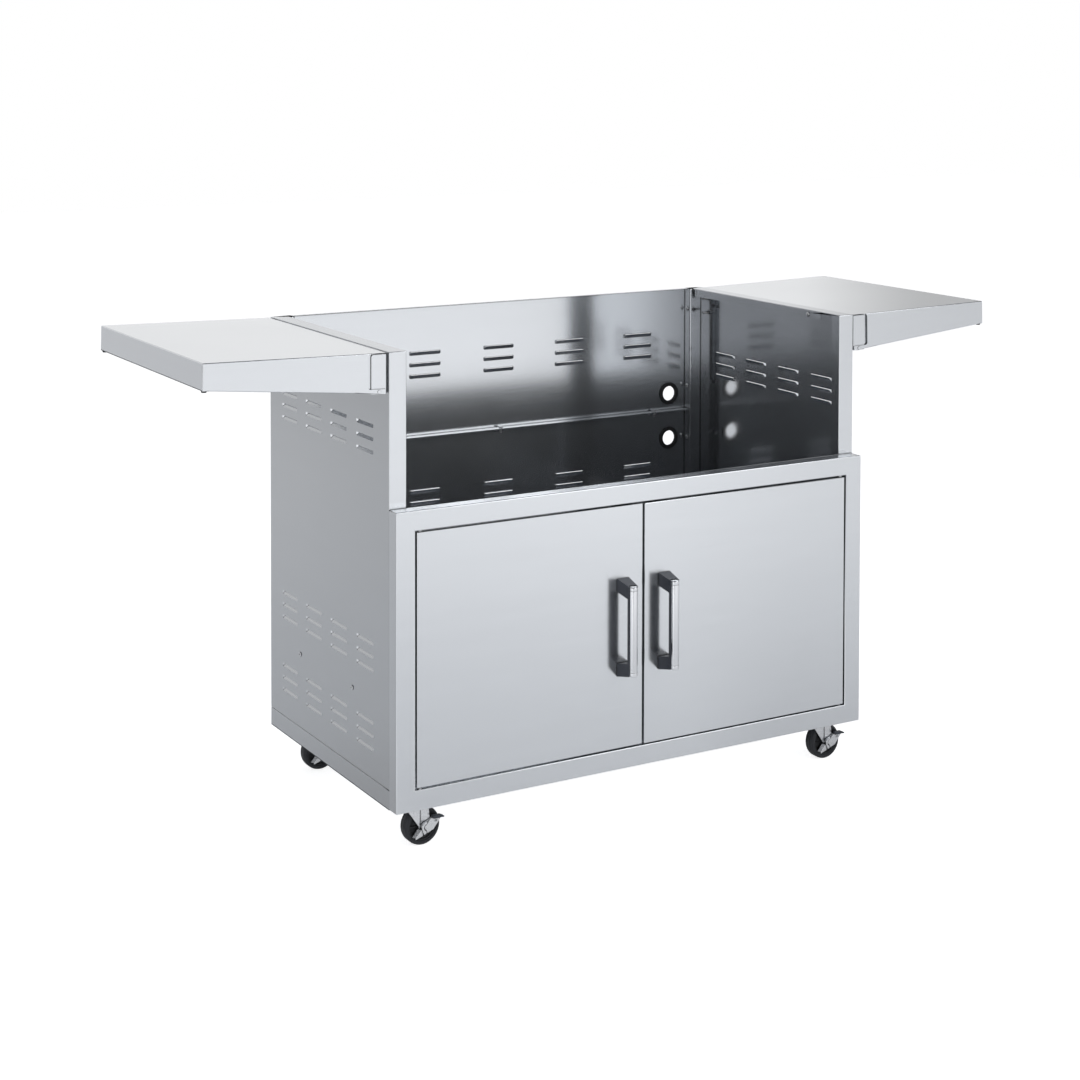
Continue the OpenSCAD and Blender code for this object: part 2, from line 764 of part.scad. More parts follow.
// One bracket at the front: its pin reaches out through the skirt and in through the hinge arm
module front_bracket() {
  arm_b = arm_f + bracket_t;
  web_x1 = half_w + bracket_gap + bracket_t;
  step_y1 = bracket_f + bracket_step;
  difference() {
    union() {
      along_y(bracket_f, bracket_f + bracket_t) bracket_face();
      block([half_w + bracket_gap, bracket_f, bracket_low], [web_x1, step_y1, bracket_top]);
      block([half_w, step_y1 - bracket_t, bracket_low], [web_x1, step_y1, bracket_top]);
      block([half_w, step_y1 - bracket_t, bracket_low], [half_w + bracket_t, bracket_f + bracket_l, bracket_top]);
    }
    for (z = bracket_bolts_z) {
      translate([0, bracket_f + bracket_bolt_y, z])
        rod_x(half_w - cut, half_w + bracket_t + cut, screw_r + hole_fit);
    }
  }
  translate([fold_x, 0, fold_z]) {
    rod_y(shelf_y0 - side_fit, arm_b + side_fit, shelf_pin_r);
    rod_y(shelf_y0 - side_fit - pin_cap_t, shelf_y0 - side_fit, pin_cap_r);
    rod_y(arm_b + side_fit, arm_b + side_fit + pin_cap_t, pin_cap_r);
  }
}

// Shows a piece made for the shelf's front, and its mirror image at the shelf's back
module front_and_back() {
  children();
  translate([0, shelf_y0 + shelf_y1, 0]) mirror([0, 1, 0]) children();
}

module shelf_brackets(side) {
  color(steel) at_origin() on_side(side) front_and_back() front_bracket();
}

module shelf_bracket_bolts() {
  color(zinc) at_origin() for (side = [-1, 1]) on_side(side) {
    for (y = [bracket_f + bracket_bolt_y, bracket_b - bracket_bolt_y], z = bracket_bolts_z) {
      translate([half_w + bracket_t, y, z]) screw_x(bracket_t + sheet, bracket_bolt_end);
    }
  }
}

// Doors

module door_hinge_pins(side) {
  color(zinc) at_origin() on_side(side) translate([pin_x, pivot_back, 0]) {
    rod_z(opening_low - sheet - washer_t, opening_low - sheet, washer_r);
    rod_z(opening_low - sheet, door_z0 + pivot_len, pivot_r);
    rod_z(opening_low, opening_low + washer_t, washer_r);
    rod_z(opening_high + sheet, opening_high + sheet + washer_t, washer_r);
    rod_z(door_z1 - pivot_len, opening_high + sheet, pivot_r);
    rod_z(opening_high - washer_t, opening_high, washer_r);
  }
}

module door_catches() {
  front = door_t + strike_t + side_fit;
  color(plastic) at_origin() for (side = [-1, 1]) on_side(side) {
    block([catch_x - catch_l / 2, front, opening_high - catch_h],
          [catch_x + catch_l / 2, frame_t, opening_high]);
  }
}

module door_skin(side) {
  color(steel) at_origin() on_side(side) difference() {
    block([door_x0, 0, door_z0], [door_x1, door_t, door_z1]);
    block([door_x0 + sheet, sheet, door_z0 + sheet], [door_x1 - sheet, door_t + cut, door_z1 - sheet]);
    for (z = [door_z0, door_z1 - sheet]) {
      translate([pin_x, pivot_back, 0]) rod_z(z - cut, z + sheet + cut, pivot_r + run_fit);
    }
  }
}

module door_liner(side) {
  color(steel) at_origin() on_side(side) {
    block([door_x0 + sheet, door_t - sheet, door_z0 + sheet], [door_x1 - sheet, door_t, door_z1 - sheet]);
  }
}

module door_strike(side) {
  color(dark_steel) at_origin() on_side(side) {
    block([catch_x - catch_l / 2, door_t, door_z1 - catch_h],
          [catch_x + catch_l / 2, door_t + strike_t, door_z1 - door_gap]);
  }
}

// Side view of both legs and the spine, as Y and Z
module handle_side() {
  front = -bar_out;
  polygon([[0, handle_z], [0, handle_z + leg_h], [front, bar_z0 + leg_h], [front, bar_z0]]);
  polygon([[0, handle_top - leg_h], [0, handle_top], [front, bar_z1], [front, bar_z1 - leg_h]]);
}

module handle_body(side) {
  color(plastic) at_origin() on_side(side) translate([handle_x, 0, 0]) difference() {
    union() {
      intersection() {
        along_x(-leg_w / 2, leg_w / 2) handle_side();
        along_z(handle_z, handle_top) polygon([
          [-leg_w / 2, 0], [-shell_r, -bar_out], [shell_r, -bar_out], [leg_w / 2, 0]
        ]);
      }
      along_z(bar_z0, bar_z1) translate([0, -bar_out]) polygon([
        [-shell_r, 0], [shell_r, 0], [shell_r, bar_d / 4], [spine_w / 2, spine_d],
        [-spine_w / 2, spine_d], [-shell_r, bar_d / 4]
      ]);
    }
    translate([0, -bar_out, 0]) rod_z(bar_z0 - cut, bar_z1 + cut, bar_d / 2 + run_fit);
  }
}

module handle_bar(side) {
  color(zinc) at_origin() on_side(side) translate([handle_x, -bar_out, 0]) {
    rod_z(bar_z0 + tip_h, bar_z1 - tip_h, bar_d / 2);
  }
}

module handle_tips(side) {
  color(zinc) at_origin() on_side(side) translate([handle_x, -bar_out, 0]) {
    for (z = [bar_z0, bar_z1 - tip_h]) {
      rod_z(z, z + tip_h, bar_d / 2);
    }
  }
}

// Side shelves

// Turns a level shelf up to its open angle about its pivot
module raised() {
  translate([fold_x, 0, fold_z]) rotate([0, -shelf_rise, 0]) translate([-fold_x, 0, -fold_z]) children();
}

module skirt_side() {
  difference() {
    polygon([[shelf_x0, skirt_low], [shelf_x1, end_low], [shelf_x1, shelf_z], [shelf_x0, shelf_z]]);
    translate([shelf_x0 - cut, notch_low]) {
      square([notch_w + cut - notch_r, notch_high - notch_low]);
      translate([0, notch_r]) square([notch_w + cut, notch_high - notch_low - 2 * notch_r]);
      for (z = [notch_r, notch_high - notch_low - notch_r]) {
        translate([notch_w + cut - notch_r, z]) circle(r = notch_r);
      }
    }
  }
}

// The lip folded in under a side skirt, from past the notch to the end skirt's own lip
module skirt_hem() {
  slope = (end_low - skirt_low) / shelf_l;
  x0 = shelf_x0 + hem_start;
  x1 = shelf_x1 - hem_w;
  z0 = skirt_low + slope * hem_start;
  z1 = end_low - slope * hem_w;
  polygon([[x0, z0], [x1, z1], [x1, z1 + sheet], [x0, z0 + sheet]]);
}

module shelf_top(side) {
  color(steel) at_origin() on_side(side) raised() {
    block([shelf_x0, shelf_y0, shelf_z - sheet], [shelf_x1, shelf_y1, shelf_z]);
    block([shelf_x1 - sheet, shelf_y0, end_low], [shelf_x1, shelf_y1, shelf_z]);
    block([shelf_x1 - hem_w, shelf_y0, end_low], [shelf_x1, shelf_y1, end_low + sheet]);
    front_and_back() {
      difference() {
        along_y(shelf_y0, shelf_y0 + sheet) skirt_side();
        translate([fold_x, 0, fold_z]) rod_y(shelf_y0 - cut, shelf_y0 + sheet + cut, shelf_pin_r + run_fit);
      }
      along_y(shelf_y0, shelf_y0 + hem_w) skirt_hem();
    }
  }
}

module shelf_channel(side) {
  color(dark_steel) at_origin() on_side(side) raised() {
    translate([(shelf_x0 + shelf_x1) / 2, 0, shelf_z - sheet])
      along_y(shelf_y0 + sheet, shelf_y1 - sheet) channel_section(rib_w, rib_h);
  }
}

module shelf_hinge_arms(side) {
  top = shelf_z - sheet;
  color(dark_steel) at_origin() on_side(side) raised() front_and_back() {
    difference() {
      union() {
        translate([fold_x, 0, fold_z]) rod_y(arm_f, arm_f + bracket_t, arm_r);
        block([fold_x - arm_r, arm_f, fold_z], [fold_x + arm_r, arm_f + bracket_t, top]);
        block([fold_x, arm_f, notch_low - arm_lap], [shelf_x0 + notch_w + arm_lap, arm_f + bracket_t, top]);
      }
      translate([fold_x, 0, fold_z]) rod_y(arm_f - cut, arm_f + bracket_t + cut, shelf_pin_r + run_fit);
    }
    block([fold_x - arm_r, arm_f, top - bracket_t], [fold_x + arm_r, arm_f + 2 * arm_r, top]);
  }
}

module shelf_bumpers(side) {
  color(rubber) at_origin() on_side(side) raised() {
    for (y = [shelf_y0 + bumper_in, shelf_y1 - bumper_in]) {
      translate([shelf_x1 - hem_w / 2, y, 0]) rod_z(end_low - bumper_h, end_low, bumper_r);
    }
  }
}

// Casters: side is -1 on the left, end is 0 at the front and 1 at the back.
// Every wheel trails towards +X, and every brake faces the front.

module at_caster(side, end) {
  at_origin() translate([side * (half_w - caster_x), caster_ends[end], 0]) children();
}

module fork_leg() {
  end_x = trail + fork_r;
  polygon([
    [-crown_front, crown_top], [crown_rear, crown_top], [end_x + fork_bulge, axle_z + fork_bulge_up],
    [end_x, axle_z], [trail, axle_z - fork_r / 2], [trail - fork_heel, axle_z],
    [-crown_front, axle_z + fork_taper]
  ]);
  translate([trail, axle_z]) circle(r = fork_r);
}

// The crease runs down a leg's outer face, from the crown to beside the axle
module leg_crease() {
  x = trail - crease_in;
  block([x - crease_w / 2, -leg_out - cut, axle_z + fork_r / 2],
        [x + crease_w / 2, crease_d - leg_out, crown_low]);
}

module caster_fork(side, end) {
  color(zinc) at_caster(side, end) difference() {
    union() {
      block([-crown_front, -leg_out, crown_low], [crown_rear, leg_out, crown_top]);
      along_y(-leg_out, -leg_in) fork_leg();
      along_y(leg_in, leg_out) fork_leg();
    }
    leg_crease();
    mirror([0, 1, 0]) leg_crease();
    rod_z(crown_low - cut, crown_top + cut, rivet_r + run_fit);
    translate([trail, 0, axle_z]) rod_y(-leg_out - cut, leg_out + cut, axle_r + hole_fit);
  }
}

module caster_axle(side, end) {
  color(zinc) at_caster(side, end) translate([trail, 0, axle_z]) {
    rod_y(-nut_in - nut_h - axle_end, leg_out, axle_r);
    translate([0, -nut_in, 0]) rotate([90, 0, 0]) cylinder(h = nut_h, r = nut_r, $fn = 6);
    translate([0, leg_out + nut_h, 0]) rotate([90, 0, 0]) cylinder(h = nut_h, r = nut_r, $fn = 6);
  }
}

// Turns a profile of radius and width about the axle
module wheel_ring() {
  translate([trail, 0, axle_z]) rotate([90, 0, 0]) rotate_extrude() children();
}

module wheel_hub(side, end) {
  boss = axle_r + boss_wall;
  web = wheel_w / 4;
  inner = hub_r - rim_wall - 1;
  outer = hub_r - rim_wall;
  color(rubber) at_caster(side, end) wheel_ring() polygon([
    [axle_r + run_fit, -hub_side], [boss, -hub_side], [boss, -web], [inner, -web], [outer, -hub_rim],
    [hub_r, -hub_rim], [hub_r, hub_rim], [outer, hub_rim], [inner, web], [boss, web], [boss, hub_side],
    [axle_r + run_fit, hub_side]
  ]);
}

module tyre(side, end) {
  half = wheel_w / 2;
  bead_r = hub_r + bead_w;
  flat_r = wheel_d / 2 - tread_round;
  flat = half - tread_round;
  shoulder = [for (a = [0:15:90]) [flat_r + tread_round * sin(a), flat + tread_round * cos(a)]];
  color(rubber) at_caster(side, end) wheel_ring() polygon(concat(
    [[hub_r, -hub_rim], [hub_r, hub_rim], [bead_r, half]],
    shoulder,
    [for (i = [len(shoulder) - 1:-1:0]) [shoulder[i][0], -shoulder[i][1]]],
    [[bead_r, -half]]
  ));
}

// The brake lever seen from the front, about the axle
module lever_plate() {
  circle(r = cup_r);
  polygon([
    [-tail_l, -tail_l * 0.5], [-tail_l * 0.83, -tail_l * 0.68], [0, -cup_r * 0.9],
    [cup_r * 0.6, -cup_r * 0.7], [pedal_l, pedal_h - lever_t], [pedal_l, pedal_h], [pad_in, pedal_h],
    [0, cup_r * 0.8], [-cup_r * 0.8, 0]
  ]);
}

module brake(side, end) {
  color(zinc) at_caster(side, end) translate([trail, 0, axle_z]) difference() {
    union() {
      along_y(-lever_out, -lever_in) lever_plate();
      rod_y(-lever_out - cup_h, -lever_in, cup_r);
      block([pad_in, -lever_in - pedal_d, pedal_h - lever_t], [pedal_l, -lever_in, pedal_h]);
    }
    rod_y(-lever_out - cup_h - cut, -lever_out, nut_r + side_fit);
    rod_y(-lever_out - cut, -lever_in + cut, axle_r + run_fit);
  }
}

side_panel(-1);  // left_side_panel
side_panel(1);  // right_side_panel
upper_back_panel();
lower_back_panel();
base_pan();
front_frame();
hose_grommets();
inner_rails();
side_screws();
back_screws();
caster_rails();
caster_plates();
caster_bolts();
shelf_brackets(-1);  // left_shelf_brackets
shelf_brackets(1);  // right_shelf_brackets
shelf_bracket_bolts();
door_hinge_pins(-1);  // left_door_hinge_pins
door_hinge_pins(1);  // right_door_hinge_pins
door_catches();

door_skin(-1);  // left_door_skin
door_liner(-1);  // left_door_liner
door_strike(-1);  // left_door_strike
handle_body(-1);  // left_handle_body
handle_bar(-1);  // left_handle_bar
handle_tips(-1);  // left_handle_tips
door_skin(1);  // right_door_skin
door_liner(1);  // right_door_liner
door_strike(1);  // right_door_strike
handle_body(1);  // right_handle_body
handle_bar(1);  // right_handle_bar
handle_tips(1);  // right_handle_tips

shelf_top(-1);  // left_shelf_top
shelf_channel(-1);  // left_shelf_channel
shelf_hinge_arms(-1);  // left_shelf_hinge_arms
shelf_bumpers(-1);  // left_shelf_bumpers
shelf_top(1);  // right_shelf_top
shelf_channel(1);  // right_shelf_channel
shelf_hinge_arms(1);  // right_shelf_hinge_arms
shelf_bumpers(1);  // right_shelf_bumpers

caster_fork(-1, 0);  // front_left_fork
caster_axle(-1, 0);  // front_left_axle
wheel_hub(-1, 0);  // front_left_hub
tyre(-1, 0);  // front_left_tyre
brake(-1, 0);  // front_left_brake
caster_fork(1, 0);  // front_right_fork
caster_axle(1, 0);  // front_right_axle
wheel_hub(1, 0);  // front_right_hub
tyre(1, 0);  // front_right_tyre
brake(1, 0);  // front_right_brake
caster_fork(-1, 1);  // rear_left_fork
caster_axle(-1, 1);  // rear_left_axle
wheel_hub(-1, 1);  // rear_left_hub
tyre(-1, 1);  // rear_left_tyre
brake(-1, 1);  // rear_left_brake
caster_fork(1, 1);  // rear_right_fork
caster_axle(1, 1);  // rear_right_axle
wheel_hub(1, 1);  // rear_right_hub
tyre(1, 1);  // rear_right_tyre
brake(1, 1);  // rear_right_brake
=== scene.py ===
# %% [markdown]
# A stainless grill cart, dressed for a studio photograph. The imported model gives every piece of
# sheet, pin and wheel at its real size. This lesson adds what a camera sees and a model lacks:
# the brushing of the steel, rounded bends, stamped caster levers, screws with cross recesses, and soft light.

# %% Load the frame
import math

import bmesh
import bpy
from mathutils import Matrix
from mathutils import Vector


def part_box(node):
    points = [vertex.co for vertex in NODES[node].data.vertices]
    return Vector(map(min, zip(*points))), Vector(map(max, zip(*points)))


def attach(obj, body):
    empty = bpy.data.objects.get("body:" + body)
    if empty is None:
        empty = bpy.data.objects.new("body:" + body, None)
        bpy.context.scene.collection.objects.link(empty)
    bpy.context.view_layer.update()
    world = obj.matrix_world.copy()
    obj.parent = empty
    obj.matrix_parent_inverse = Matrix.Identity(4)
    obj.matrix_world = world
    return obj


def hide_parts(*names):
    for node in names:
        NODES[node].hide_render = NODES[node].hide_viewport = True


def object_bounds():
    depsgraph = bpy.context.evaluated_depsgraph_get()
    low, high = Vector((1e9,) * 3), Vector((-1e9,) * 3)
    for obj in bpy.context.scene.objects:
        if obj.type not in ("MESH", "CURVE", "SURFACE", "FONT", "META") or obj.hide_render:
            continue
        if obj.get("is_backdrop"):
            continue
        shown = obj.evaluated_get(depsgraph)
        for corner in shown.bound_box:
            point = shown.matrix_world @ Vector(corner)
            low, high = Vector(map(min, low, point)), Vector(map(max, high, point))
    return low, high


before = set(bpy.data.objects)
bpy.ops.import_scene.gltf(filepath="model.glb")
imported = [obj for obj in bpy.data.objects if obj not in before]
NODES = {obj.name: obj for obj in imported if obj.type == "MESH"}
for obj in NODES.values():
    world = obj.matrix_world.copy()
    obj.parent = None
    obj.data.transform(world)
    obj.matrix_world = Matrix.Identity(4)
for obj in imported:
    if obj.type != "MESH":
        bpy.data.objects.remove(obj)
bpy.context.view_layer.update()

# %% [markdown]
# The photograph looks at the cart's front left corner from above its top, through a long lens. Uprights
# stay upright in it, as in a product shot. Tilting the camera down would make them lean, so the camera
# looks nearly level and its frame is shifted down instead. The turns follow one another: yaw about the
# upright, pitch about the camera's side and roll about the lens.

# %% Camera
IMAGE = 1080
LENS = 69.38
PRINCIPAL = (556.82, 114.12)
camera_place = Vector((-2.15085, -3.60641, 1.4800))
camera_yaw = math.radians(30.364)
camera_pitch = math.radians(2.014)
camera_roll = math.radians(0.136)

camera_data = bpy.data.cameras.new("camera")
camera_data.lens = LENS
camera_data.shift_x = (IMAGE / 2 - PRINCIPAL[0]) / IMAGE
camera_data.shift_y = (PRINCIPAL[1] - IMAGE / 2) / IMAGE
camera = bpy.data.objects.new("camera", camera_data)
bpy.context.scene.collection.objects.link(camera)
camera.location = camera_place
turn = Matrix.Rotation(-camera_yaw, 4, "Z") @ Matrix.Rotation(math.pi / 2 - camera_pitch, 4, "X")
camera.rotation_euler = (turn @ Matrix.Rotation(camera_roll, 4, "Z")).to_euler()
bpy.context.scene.camera = camera
print("camera shift", round(camera_data.shift_x, 4), round(camera_data.shift_y, 4))

# %% [markdown]
# A finish is a tree of small nodes. They can be clicked together one by one, which is quick for one finish.
# The finishes here share the same few steps, so short helpers write the nodes: one adds any node and
# links what it is given, and the others multiply, compare, remap and grade a value.

# %% Node helpers
def add(tree, kind, inputs=None, **settings):
    made = tree.nodes.new(kind)
    for name, value in settings.items():
        setattr(made, name, value)
    for key, value in (inputs or {}).items():
        if isinstance(value, bpy.types.NodeSocket):
            tree.links.new(value, made.inputs[key])
        else:
            made.inputs[key].default_value = value
    return made


def times(tree, first, second):
    return add(tree, "ShaderNodeMath", {0: first, 1: second}, operation="MULTIPLY").outputs["Value"]


def times_plus(tree, value, factor, more):
    made = add(tree, "ShaderNodeMath", {0: value, 1: factor, 2: more}, operation="MULTIPLY_ADD")
    return made.outputs["Value"]


def above(tree, value, limit):
    return add(tree, "ShaderNodeMath", {0: value, 1: limit}, operation="GREATER_THAN").outputs["Value"]


# %% Remapping helpers
def between(tree, value, low, high, at_low, at_high):
    return add(tree, "ShaderNodeMapRange", {
        "Value": value, "From Min": low, "From Max": high, "To Min": at_low, "To Max": at_high
    }).outputs["Result"]


def rising(tree, value, low, high):
    return between(tree, value, low, high, 0.0, 1.0)


def falling(tree, value, low, high):
    return between(tree, value, low, high, 1.0, 0.0)


def level_in(tree, zone, level):
    return between(tree, zone, 0.0, 1.0, 1.0, level)


def bearing_of(tree, vector):
    flat = add(tree, "ShaderNodeVectorMath", {0: vector, 1: (1, 1, 0)}, operation="MULTIPLY")
    heading = add(tree, "ShaderNodeVectorMath", {0: flat.outputs["Vector"]}, operation="NORMALIZE")
    return add(tree, "ShaderNodeSeparateXYZ", {"Vector": heading.outputs["Vector"]}).outputs["X"]


def ramp(tree, factor, stops):
    made = add(tree, "ShaderNodeValToRGB", {"Fac": factor})
    points = made.color_ramp.elements
    while len(points) < len(stops):
        points.new(1.0)
    for point, (place, level) in zip(points, stops):
        point.position = place
        point.color = (level, level, level, 1) if isinstance(level, float) else (*level, 1)
    return made.outputs["Color"]


# %% [markdown]
# Steel shows what surrounds it, so the studio comes before the steel. The walls are pale and the ceiling is
# dark, which keeps the open cabinet dark inside. A dark panel breaks the walls on the left, in front of the
# cart and behind it alike. At the far right the walls are dimmer, and so is the back wall. Screens and
# panels could stand round the cart as objects. The world's own colour does the same with nothing to hide
# from the camera, which sees plain white.

# %% World
WALL_LEVEL = 1.25
BACK_WALL_LEVEL = 0.8 * WALL_LEVEL
TONES_BY_HEIGHT = [
    (0.0, (0.8, 0.8, 0.8)), (0.5, (1.0, 1.0, 1.0)), (0.68, (1.0, 1.0, 1.0)),
    (0.80, (0.16, 0.17, 0.20)), (1.0, (0.07, 0.075, 0.09))
]
LEVELS_BY_BEARING = [
    (0.0, 0.7), (0.13, 0.7), (0.15, 0.08), (0.224, 0.08),
    (0.236, 1.0), (0.80, 1.0), (0.822, 0.58), (1.0, 0.50)
]

world = bpy.data.worlds.new("studio")
world.use_nodes = True
sky = world.node_tree
sky.nodes.clear()
direction = add(sky, "ShaderNodeTexCoord").outputs["Generated"]
parts = add(sky, "ShaderNodeSeparateXYZ", {"Vector": direction}).outputs
walls = ramp(sky, rising(sky, parts["Z"], -1.0, 1.0), TONES_BY_HEIGHT)
banks = ramp(sky, rising(sky, bearing_of(sky, direction), -1.0, 1.0), LEVELS_BY_BEARING)
wall_level = between(sky, parts["Y"], -0.2, 0.4, WALL_LEVEL, BACK_WALL_LEVEL)
in_view = add(sky, "ShaderNodeLightPath").outputs["Is Camera Ray"]
level = add(sky, "ShaderNodeMix", {0: in_view, 2: times(sky, banks, wall_level), 3: 1.0}).outputs[0]
shown = add(sky, "ShaderNodeMix", {0: in_view, 6: walls, 7: (1.0, 1.0, 1.0, 1.0)}, data_type="RGBA")
light = add(sky, "ShaderNodeBackground", {"Color": shown.outputs[2], "Strength": level})
add(sky, "ShaderNodeOutputWorld", {"Surface": light.outputs["Background"]})
bpy.context.scene.world = world
bpy.context.scene.view_settings.view_transform = "Standard"
print("world nodes", len(sky.nodes))

# %% [markdown]
# Where two sheets meet, a fine dark line shows, because little light gets into the gap. Such lines could be
# drawn one by one, but they would have to follow every joint. One node instead measures how much of a point's
# surroundings is open within a few millimetres, and each finish below darkens its colour where that share is
# small: painted shade.

# %% Material helpers
CREVICE_REACH = 0.004


def new_material(name):
    material = bpy.data.materials.new(name)
    material.use_nodes = True
    tree = material.node_tree
    tree.nodes.clear()
    shader = add(tree, "ShaderNodeBsdfPrincipled")
    add(tree, "ShaderNodeOutputMaterial", {"Surface": shader.outputs["BSDF"]})
    return material, tree, shader


# Painted shade: the factor darkens a colour where little of the surroundings is open.
def painted_crevice_shade(tree, darkest):
    open_share = add(tree, "ShaderNodeAmbientOcclusion", {"Distance": CREVICE_REACH}, samples=8).outputs["AO"]
    return between(tree, open_share, 0.35, 0.92, darkest, 1.0)


def tint(tree, shader, colour, tone):
    shade = add(tree, "ShaderNodeVectorMath", {0: (*colour,), "Scale": tone}, operation="SCALE")
    tree.links.new(shade.outputs["Vector"], shader.inputs["Base Color"])


# %% [markdown]
# The floor is one white square that runs out of the picture. The camera sees it glow, so that it is white
# round the cart's soft shadow.

# %% Floor
FLOOR_REACH = 14
floor_corners = [(x * FLOOR_REACH, y * FLOOR_REACH, 0) for x, y in ((-1, -1), (1, -1), (1, 1), (-1, 1))]
floor_mesh = bpy.data.meshes.new("floor")
floor_mesh.from_pydata(floor_corners, [], [(0, 1, 2, 3)])
floor = bpy.data.objects.new("floor", floor_mesh)
bpy.context.scene.collection.objects.link(floor)
floor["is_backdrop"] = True

floor_material, tree, shader = new_material("floor")
floor_mesh.materials.append(floor_material)
shader.inputs["Base Color"].default_value = (0.9, 0.9, 0.9, 1)
shader.inputs["Roughness"].default_value = 0.9
shader.inputs["Specular IOR Level"].default_value = 0.0
shader.inputs["Emission Color"].default_value = (1, 1, 1, 1)
print("floor", 2 * FLOOR_REACH, "metres wide")

# %% [markdown]
# Seen from above, the upright fronts mirror mostly the floor. In a studio it is lit in patches, and these
# give the steel its soft bands: the floor is darker near the cart and beside it on the left, bright at the
# front left, nearly black far ahead, and has a bright strip next to that. Boards could lie there, but they
# would show in the picture. The floor's glow is graded by place instead, and only mirrors and glass see it.
# A zone ends at a bearing from the cart, at a slanted line across the floor, or at a line along its sides.

# %% Floor in the mirror
CAMERA_GLOW = 0.8
SLANT = -0.66
rays = add(tree, "ShaderNodeLightPath").outputs
reflected = add(tree, "ShaderNodeMath", {0: rays["Is Glossy Ray"], 1: rays["Is Transmission Ray"]},
                operation="MAXIMUM").outputs["Value"]
spot = add(tree, "ShaderNodeTexCoord").outputs["Object"]
away = add(tree, "ShaderNodeVectorMath", {0: spot}, operation="LENGTH").outputs["Value"]
floor_parts = add(tree, "ShaderNodeSeparateXYZ", {"Vector": spot}).outputs
bearing = bearing_of(tree, spot)
slanted = times_plus(tree, floor_parts["Y"], SLANT, floor_parts["X"])
ahead = falling(tree, floor_parts["Y"], -3.6, -2.0)

far = between(tree, away, 0.6, 4.4, 0.30, 0.86)
left_wall = level_in(tree, times(tree, falling(tree, slanted, 0.45, 0.54), ahead), 0.06)
right_wall = between(tree, bearing, 0.50, 0.68, 1.0, 0.66)
strip = times(tree, rising(tree, slanted, 0.55, 0.62), falling(tree, slanted, 0.85, 1.0))
bright_strip = level_in(tree, times(tree, strip, ahead), 1.9)
left_front = times(tree, falling(tree, bearing, -0.75, -0.65), falling(tree, floor_parts["Y"], -0.6, -0.2))
left_glow = level_in(tree, left_front, 2.2)
left_side = falling(tree, floor_parts["X"], -2.6, -0.6)
beside = rising(tree, floor_parts["Y"], -1.5, -0.5)
left_floor = level_in(tree, times(tree, left_side, beside), 0.5)

patches = times(tree, times(tree, left_wall, right_wall), times(tree, left_floor, bright_strip))
mirrored = times(tree, times(tree, far, reflected), times(tree, patches, left_glow))
glow = times_plus(tree, rays["Is Camera Ray"], CAMERA_GLOW, mirrored)
tree.links.new(glow, shader.inputs["Emission Strength"])
print("floor nodes", len(tree.nodes))

# %% [markdown]
# Two large soft lamps give the shapes their light and shade. The key lamp stands at the front right. A
# bluish one hangs above and is hidden from mirrors, because it would show as a patch in the steel.

# %% Lamps
CART_MIDDLE = Vector((0, 0, 0.5))


def softbox(name, place, size, power, colour=(1.0, 1.0, 1.0)):
    lamp = bpy.data.lights.new(name, "AREA")
    lamp.shape = "RECTANGLE"
    lamp.size, lamp.size_y = size
    lamp.energy = power
    lamp.color = colour
    made = bpy.data.objects.new(name, lamp)
    bpy.context.scene.collection.objects.link(made)
    made.location = place
    made.rotation_euler = (CART_MIDDLE - Vector(place)).to_track_quat("-Z", "Y").to_euler()
    return made


softbox("key", place=(2.2, -3.2, 3.0), size=(2.4, 2.0), power=45)
fill = softbox("top", place=(-0.5, 0.6, 3.6), size=(3.0, 2.4), power=26, colour=(0.84, 0.91, 1.0))
fill.visible_glossy = False
print("lamps", len(bpy.data.lights))

# %% [markdown]
# Brushed steel has fine scratches all one way. A picture of scratches could be laid on unwrapped sheets.
# Here noise is stretched along each face instead, by its place in the cart, so it fits every panel without a
# seam: along the cart's length on fronts and level faces, and along its depth on the sides. There is a fine
# and a broad pattern, as a brushing belt leaves both. Which faces look away from the cart's middle is
# worked out here too, because the inner faces of the real cart are smoother.

# %% Brushing
def brushing(tree, place):
    facing = add(tree, "ShaderNodeVectorMath", {0: place["Normal"]}, operation="ABSOLUTE").outputs["Vector"]
    facing = add(tree, "ShaderNodeSeparateXYZ", {"Vector": facing}).outputs
    on_side = above(tree, facing["X"], 0.75)
    on_top = above(tree, facing["Z"], 0.7)
    spot = add(tree, "ShaderNodeSeparateXYZ", {"Vector": place["Object"]}).outputs
    along = add(tree, "ShaderNodeMix", {0: on_side, 2: spot["X"], 3: spot["Y"]}).outputs[0]
    across = add(tree, "ShaderNodeMix", {0: on_top, 2: spot["Z"], 3: spot["Y"]}).outputs[0]

    def streaks(stretch, fineness, detail):
        at = add(tree, "ShaderNodeCombineXYZ", {
            "X": times(tree, along, stretch), "Y": times(tree, across, fineness), "Z": on_side
        }).outputs["Vector"]
        return add(tree, "ShaderNodeTexNoise", {"Vector": at, "Scale": 1.0, "Detail": detail}).outputs["Fac"]

    return streaks(9.0, 900.0, 3.0), streaks(2.0, 45.0, 2.0), on_side, on_top


def faces_outwards(tree, place):
    from_middle = add(tree, "ShaderNodeVectorMath", {0: place["Object"], 1: (1, 1, 0)}, operation="MULTIPLY")
    outward = add(tree, "ShaderNodeVectorMath", {0: place["Normal"], 1: from_middle.outputs["Vector"]},
                  operation="DOT_PRODUCT").outputs["Value"]
    return above(tree, outward, -0.001)


# %% [markdown]
# A brushed mirror blurs what it reflects across the scratches and keeps it sharp along them. Bumps fine
# enough to do that would flicker from afar, so the shader's anisotropy does it: its tangent is set
# square to the scratches, upright on walls and front to back on level faces. The outer sides of the
# panels, the pan and the frame take a darker tone than the other steel: painted shade, because they are the
# same steel and look darker only for the dimmer light they mirror.

# %% Brushed steel
STEEL_COLOUR = (0.645, 0.664, 0.688)
CLOUD_ROUGHNESS = 0.05
SCRATCH_ROUGHNESS = 0.04


